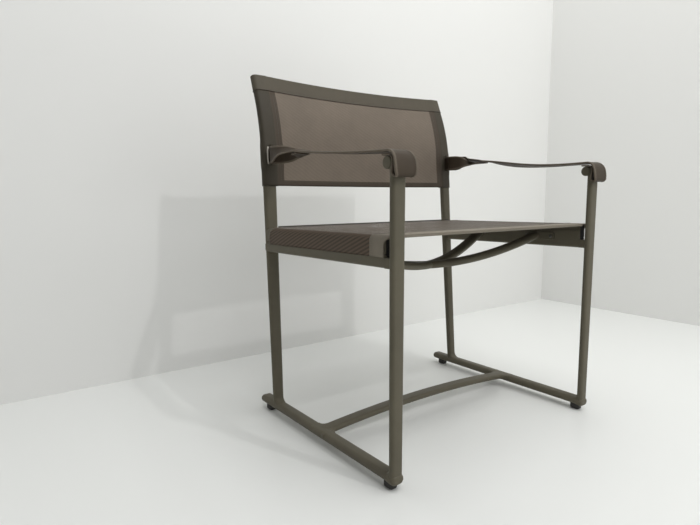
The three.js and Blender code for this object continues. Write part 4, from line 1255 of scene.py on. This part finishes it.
class Nodes:
    """Short hand for drawing a node tree."""

    def __init__(self, tree):
        self.tree = tree

    def add(self, kind, values=(), **settings):
        """The outputs of a new node, its inputs set or linked by name or number."""
        node = self.tree.nodes.new(kind)
        for name, value in settings.items():
            setattr(node, name, value)
        for key, value in dict(values).items():
            feed(self.tree, node.inputs[key], value)
        return node.outputs

    def math(self, operation, *values):
        return self.add("ShaderNodeMath", enumerate(values), operation=operation)[0]

    def mix(self, share, first, second):
        return self.add("ShaderNodeMix", {0: share, 6: first, 7: second}, data_type="RGBA")[2]

    def scale(self, vector, factor):
        return self.add("ShaderNodeVectorMath", {0: vector, "Scale": factor}, operation="SCALE")[0]

    def split(self, vector):
        return self.add("ShaderNodeSeparateXYZ", {0: vector})

    def wave(self, place, pitch):
        return self.math("SINE", self.math("MULTIPLY", place, 2 * math.pi / pitch))

    def noise(self, vector, scale, detail=2.0):
        return self.add("ShaderNodeTexNoise", {"Vector": vector, "Scale": scale, "Detail": detail})["Fac"]

    def ramp(self, value, low, high, to_low=0.0, to_high=1.0):
        """A value mapped from one span to another, smoothly."""
        spans = {"Value": value, "From Min": low, "From Max": high, "To Min": to_low, "To Max": to_high}
        return self.add("ShaderNodeMapRange", spans, interpolation_type="SMOOTHSTEP")["Result"]


def new_group(name, inputs, outputs):
    """A node group with its sockets, each with its kind."""
    tree = bpy.data.node_groups.new(name, "ShaderNodeTree")
    for way, sockets in (("INPUT", inputs), ("OUTPUT", outputs)):
        for word, kind in sockets.items():
            tree.interface.new_socket(word, in_out=way, socket_type=f"NodeSocket{kind}")
    nodes = Nodes(tree)
    leave = tree.nodes.new("NodeGroupOutput").inputs

    def give(**values):
        for word, value in values.items():
            tree.links.new(value, leave[word])

    return nodes, nodes.add("NodeGroupInput"), give


def make_wear_group():
    """Slow changes of tone over a surface and a fine grain, from its place in metres."""
    nodes, entry, give = new_group("wear", {"Place": "Vector", "Color": "Color", "Grain": "Float"},
                                   {"Color": "Color", "Height": "Float", "Roughness": "Float"})
    patch = nodes.noise(entry["Place"], PATCH_SCALE)
    cloud = nodes.noise(entry["Place"], CLOUD_SCALE)
    grain = nodes.noise(entry["Place"], entry["Grain"], GRAIN_DETAIL)
    tone = nodes.math("ADD", nodes.ramp(patch, *NOISE_SPAN, *PATCH_TONES),
                      nodes.ramp(cloud, *NOISE_SPAN, *CLOUD_TONES))
    tone = nodes.math("ADD", tone, nodes.ramp(grain, *GRAIN_SPAN, *GRAIN_TONES))
    give(Color=nodes.scale(entry["Color"], tone), Height=grain,
         Roughness=nodes.ramp(patch, *NOISE_SPAN, *PATCH_ROUGHNESS))
    return nodes.tree


def make_weave_group():
    """Plain weave from a place in the cloth: height of the threads, which of them lies on top, and
    whether there is a thread at all or the open middle of a mesh."""
    nodes, entry, give = new_group("weave", {"Place": "Vector", "Pitch": "Float", "Cover": "Float"},
                                   {"Height": "Float", "Warp": "Float", "Thread": "Float"})
    split = nodes.split(entry["Place"])
    offsets, waves = [], []
    for axis in (split[0], split[1]):
        turns = nodes.math("DIVIDE", axis, entry["Pitch"])
        across = nodes.math("MULTIPLY_ADD", nodes.math("FRACT", turns), 2.0, -1.0)
        offsets.append(nodes.math("ABSOLUTE", across))
        waves.append(nodes.wave(turns, 2))
    over = nodes.math("MULTIPLY_ADD", nodes.math("MULTIPLY", *waves), 0.5, 0.5)
    heights, covers = [], []
    for offset, side in zip(offsets, (over, nodes.math("SUBTRACT", 1.0, over))):
        reach = nodes.math("DIVIDE", offset, entry["Cover"])
        swell = nodes.math("SUBTRACT", 1.0, nodes.math("MULTIPLY", reach, reach))
        covers.append(nodes.math("GREATER_THAN", swell, 0.0))
        heights.append(nodes.math("MULTIPLY", nodes.math("MAXIMUM", swell, 0.0),
                                  nodes.math("MULTIPLY_ADD", side, 1 - LOW_THREAD, LOW_THREAD)))
    give(Height=nodes.math("MAXIMUM", *heights), Warp=nodes.math("GREATER_THAN", *heights),
         Thread=nodes.math("MAXIMUM", *covers))
    return nodes.tree


wear_group = make_wear_group()
weave_group = make_weave_group()


class Finish(Nodes):
    """A material with its shader to hand."""

    def __init__(self, name, **numbers):
        self.material = bpy.data.materials.new(name)
        self.material.use_nodes = True
        super().__init__(self.material.node_tree)
        self.shader = self.tree.nodes["Principled BSDF"]
        for word, value in numbers.items():
            self.give(word.replace("_", " "), value)

    def give(self, word, value):
        feed(self.tree, self.shader.inputs[word], value)

    def place(self):
        return self.add("ShaderNodeTexCoord")["Object"]

    def cloth_place(self):
        return self.add("ShaderNodeAttribute", attribute_name="weave")["Vector"]

    def woven(self, place, pitch, cover=1.0):
        return self.add("ShaderNodeGroup", {"Place": place, "Pitch": pitch, "Cover": cover},
                        node_tree=weave_group)

    def surface(self, tone, grain, roughness, depth, strength, weave=None, grain_share=1):
        """Worn colour and roughness for the shader, and a relief of the grain, or of it on a weave."""
        worn = self.add("ShaderNodeGroup", {"Place": self.place(), "Color": tone, "Grain": grain},
                        node_tree=wear_group)
        self.give("Base Color", worn["Color"])
        self.give("Roughness", self.math("ADD", worn["Roughness"], roughness))
        height = worn["Height"]
        if weave is not None:
            height = self.math("MULTIPLY_ADD", height, grain_share, weave["Height"])
        relief = {"Height": height, "Distance": depth, "Strength": strength}
        self.give("Normal", self.add("ShaderNodeBump", relief)["Normal"])


def make_mesh(name, seam, low_hem, stripes, light, double, pocket):
    """Open woven mesh. It is darker and closed where two layers lie on each other: beyond the seam
    and under the hem, given in metres from the middle of the cloth and from its edge."""
    finish = Finish(name, Specular_IOR_Level=CLOTH_GLINT)
    place = finish.cloth_place()
    weave = finish.woven(place, MESH_PITCH, MESH_COVER)
    across, along = finish.split(place)[:2]
    aside = finish.math("ABSOLUTE", across)
    doubled = finish.math("MAXIMUM", finish.math("GREATER_THAN", aside, seam),
                          finish.math("LESS_THAN", along, low_hem))
    slant = finish.math("MULTIPLY_ADD", across, STREAK_SLANT, along)
    sway = finish.math("MULTIPLY_ADD", finish.noise(place, STREAK_SCALE), STREAK_SWAY, slant)
    streaks = finish.math("MULTIPLY_ADD", finish.wave(sway, STREAK_PITCH), STREAKS, 1.0)
    # The yarn colours are scaled by the sheet's painted light factor
    yarns = [color(*[part * light for part in yarn[:3]]) for yarn in (MESH_WEFT, MESH_WARP)]
    single = finish.scale(finish.mix(weave["Warp"], *yarns), streaks)
    stripe = finish.wave(finish.math("MULTIPLY_ADD", aside, -STRIPE_SLANT, along), STRIPE_PITCH)
    fade = finish.ramp(aside, *[seam + reach for reach in STRIPE_FADE], 0.0, stripes)
    banded = finish.math("MULTIPLY_ADD", finish.ramp(stripe, -STRIPE_EDGE, STRIPE_EDGE, -1.0, 1.0), fade, 1.0)
    over = finish.math("GREATER_THAN", aside, seam + POCKET_OVERLAP)
    layers = finish.scale(finish.mix(over, double, pocket), banded)
    finish.surface(finish.mix(doubled, single, layers), *MESH_SURFACE, weave, MESH_GRAIN_SHARE)
    finish.give("Alpha", finish.math("MAXIMUM", weave["Thread"], doubled))
    return finish.material


def make_close_cloth(name, tone):
    """Close-woven cloth, smooth at a distance."""
    finish = Finish(name, Specular_IOR_Level=CLOTH_GLINT)
    finish.surface(tone, *CLOTH_SURFACE, finish.woven(finish.place(), CLOTH_PITCH), CLOTH_GRAIN_SHARE)
    return finish.material


def make_strap_cloth():
    """Brown strap with a lighter bound rim on both edges."""
    finish = Finish("strap_cloth", Specular_IOR_Level=STRAP_GLINT)
    place = finish.cloth_place()
    rim = finish.ramp(finish.split(place)[2], *RIM_SPAN)
    finish.surface(finish.mix(rim, STRAP_PANEL, STRAP_RIM), *STRAP_SURFACE,
                   finish.woven(place, STRAP_PITCH), CLOTH_GRAIN_SHARE)
    return finish.material


def make_coat():
    """Olive taupe powder coat with a fine pebble."""
    finish = Finish("powder_coat", Specular_IOR_Level=COAT_GLINT)
    finish.surface(COAT_COLOR, *COAT_SURFACE)
    return finish.material


def make_plain(name, tone, roughness, metallic=0.0):
    finish = Finish(name, Metallic=metallic)
    finish.surface(tone, PLAIN_GRAIN, roughness, *PLAIN_RELIEF)
    return finish.material


coat = make_coat()
back_cloth = make_mesh("back_mesh_cloth", POCKET_SEAM_X * MM, BACK_HEM * MM, 0.0, BACK_PAINTED_LIGHT,
                       MESH_DOUBLE, POCKET_COLOR)
seat_cloth = make_mesh("seat_mesh_cloth", (SEAT_FIELD_HALF + 2 * RAIL_TOP_CORNER) * MM, NO_HEM, STRIPES,
                       SEAT_PAINTED_LIGHT, SEAT_DOUBLE, SEAT_DOUBLE)
# One binding cloth in two copies: a lit copy for the hem, lip and sleeve binding, and a shaded copy for the
# top band
lit_hem_cloth = make_close_cloth("lit_hem_cloth", LIT_HEM_COLOR)
rear_cloth = make_close_cloth("rear_cloth", REAR_COLOR)
shaded_band_cloth = make_close_cloth("shaded_band_cloth", SHADED_BAND_COLOR)
strap_cloth = make_strap_cloth()
thread = make_plain("thread", THREAD_COLOR, THREADY)
strap_thread = make_plain("strap_thread", STRAP_THREAD_COLOR, THREADY)
pale_core = make_plain("pale_core", CORE_COLOR, CHALKY)
rubber = make_plain("glide_rubber", RUBBER_COLOR, THREADY)
painted_shade = make_plain("painted_shade", PAINTED_SHADE_COLOR, DEAD)
black_plastic = make_plain("spline_plastic", PLASTIC_COLOR, HARD)
zinc = make_plain("zinc", ZINC_COLOR, HARD, 1.0)


# The chair

stand_pair(draw_runner, "runner_bar", "runner", coat)
stand_pair(draw_front_leg, "front_leg_bar", "front_leg", coat)
stand_pair(draw_upright, "rear_upright_bar", "rear_upright", coat)
stand_pair(draw_rail, "seat_rail_bar", "seat_rail", coat)
stand_pair(draw_peg, "peg", "arm_peg", coat)
stand_pair(draw_spline, "spline_rod", "seat_spline", black_plastic)
# A near-black plate in each rail's fin end: painted shade
stand_pair(draw_rail_end_shade, "rail_end_shade", None, painted_shade)
stand_pair(lambda bm: draw_glide(bm, FRONT_GLIDE_Y), "front_pad", "front_glide", rubber)
stand_pair(lambda bm: draw_glide(bm, REAR_GLIDE_Y), "rear_pad", "rear_glide", rubber)
stand_one(draw_stretcher, "stretcher_bar", "floor_stretcher", coat)
stand_one(draw_long_brace, "long_brace_bar", "seat_brace_long", coat)
for word, side in (("left", 1), ("right", -1)):
    stand_one(lambda bm: draw_short_brace(bm, side), f"short_brace_bar_{word}", f"seat_brace_half_{word}",
              coat)
stand_pair(lambda bm: draw_plate(bm, BRACE_FRONT_Y), "front_plate", "front_brace_plate", coat)
stand_pair(lambda bm: draw_plate(bm, BRACE_REAR_Y), "rear_plate", "rear_brace_plate", coat)
screw_places = [end for y in (BRACE_FRONT_Y, BRACE_REAR_Y)
                for end in (plate_span(y)[0] + SCREW_INSET, plate_span(y)[1] - SCREW_INSET)]
for number, screw_y in enumerate(screw_places, 1):
    stand_pair(lambda bm: draw_screw(bm, screw_y), f"screw_{number}", f"brace_screw_{number}", zinc)

make_seat_sling(seat_cloth)
make_seat_front_hem(lit_hem_cloth)
stand_one(draw_seat_lip, "seat_lip", None, lit_hem_cloth)
stand_one(draw_seat_rear_hem, "seat_hem_rear", "seat_rear_hem", rear_cloth)
stand_pair(draw_sleeve_binding, "sleeve_binding", None, lit_hem_cloth)
make_back_sling(back_cloth)
stand_one(draw_back_band, "back_band", "back_top_band", shaded_band_cloth)
stand_one(draw_band_piping, "band_piping", None, strap_thread)
stand_pair(draw_slit_rim, "slit_rim", None, pale_core)
stand_one(draw_back_stitches, "back_stitches", None, thread)
stand_one(draw_seat_stitches, "seat_stitches", None, thread)
make_strap("left", LEFT_SAG, LEFT_TILT)
make_strap("right", RIGHT_SAG, RIGHT_TILT)


# Room, light and camera

WALL_Y = 632
WALL_X = 1428
ROOM = 6000
SKY_STRENGTH = 0.2

# Lamps: place and aim in metres, side in metres and power in watts
LAMPS = {
    "key": ((0.5, -2.6, 2.9), (0, 0, 0.5), 0.09, 15.6),
    "over": ((-0.2, -1.9, 2.8), (0, 0, 0.3), 2.4, 35),
    "right": ((0.9, -2.2, 1.2), (0.6, 0.6, 0.5), 1.4, 6.6),
    "top": ((0.2, -0.3, 3.0), (0.2, -0.3, 0), 1.6, 24),
}

CAMERA_AT = Vector((-873.05, -893.44, 506.97))
CAMERA_HEADING = math.radians(-36.469)
CAMERA_PITCH = math.radians(7.093)
CAMERA_ROLL = math.radians(-0.204)
CAMERA_LENS = 27.44
CAMERA_SENSOR = 36


def make_room_finish(name, tone, roughness, one_sided):
    """Pale matt paint. A wall shows its room side only, so the chair can be seen from behind it."""
    finish = Finish(name, Base_Color=tone, Roughness=roughness, Specular_IOR_Level=ROOM_GLINT)
    if one_sided:
        behind = finish.add("ShaderNodeNewGeometry")["Backfacing"]
        clear = finish.add("ShaderNodeBsdfTransparent")[0]
        mixed = finish.add("ShaderNodeMixShader", {0: behind, 1: finish.shader.outputs[0], 2: clear})
        finish.tree.links.new(mixed[0], finish.tree.nodes["Material Output"].inputs["Surface"])
    return finish.material


def make_plane(name, place, finish):
    bm = bmesh.new()
    bmesh.ops.create_grid(bm, x_segments=1, y_segments=1, size=ROOM * MM, matrix=place)
    show(bm, name, finish)


wall_paint = make_room_finish("wall_paint", WALL_COLOR, DEAD, True)
floor_paint = make_room_finish("floor_paint", FLOOR_COLOR, FLOOR_ROUGHNESS, False)
left_place = Matrix.Translation((0, WALL_Y * MM + SHIFT.y, 0)) @ Matrix.Rotation(QUARTER, 4, "X")
right_place = Matrix.Translation((WALL_X * MM, 0, 0)) @ Matrix.Rotation(-QUARTER, 4, "Y")
make_plane("floor", Matrix.Identity(4), floor_paint)
make_plane("left_wall", left_place, wall_paint)
make_plane("right_wall", right_place, wall_paint)

world = bpy.data.worlds.new("room")
world.use_nodes = True
world.node_tree.nodes["Background"].inputs["Color"].default_value = SKY_COLOR
world.node_tree.nodes["Background"].inputs["Strength"].default_value = SKY_STRENGTH
bpy.context.scene.world = world

for name, (at, aim, size, power) in LAMPS.items():
    data = bpy.data.lights.new(name, "AREA")
    data.energy = power
    data.size = size
    lamp = bpy.data.objects.new(name, data)
    lamp.location = at
    lamp.rotation_euler = (Vector(aim) - Vector(at)).to_track_quat("-Z", "Y").to_euler()
    bpy.context.scene.collection.objects.link(lamp)

camera_data = bpy.data.cameras.new("camera")
camera_data.lens = CAMERA_LENS
camera_data.sensor_width = CAMERA_SENSOR
camera = bpy.data.objects.new("camera", camera_data)
turn = Matrix.Rotation(CAMERA_HEADING, 4, "Z") @ Matrix.Rotation(QUARTER - CAMERA_PITCH, 4, "X")
turn = turn @ Matrix.Rotation(CAMERA_ROLL, 4, "Z")
camera.matrix_world = Matrix.Translation(CAMERA_AT * MM + SHIFT) @ turn
bpy.context.scene.collection.objects.link(camera)
bpy.context.scene.camera = camera

bpy.context.scene.view_settings.view_transform = "Standard"
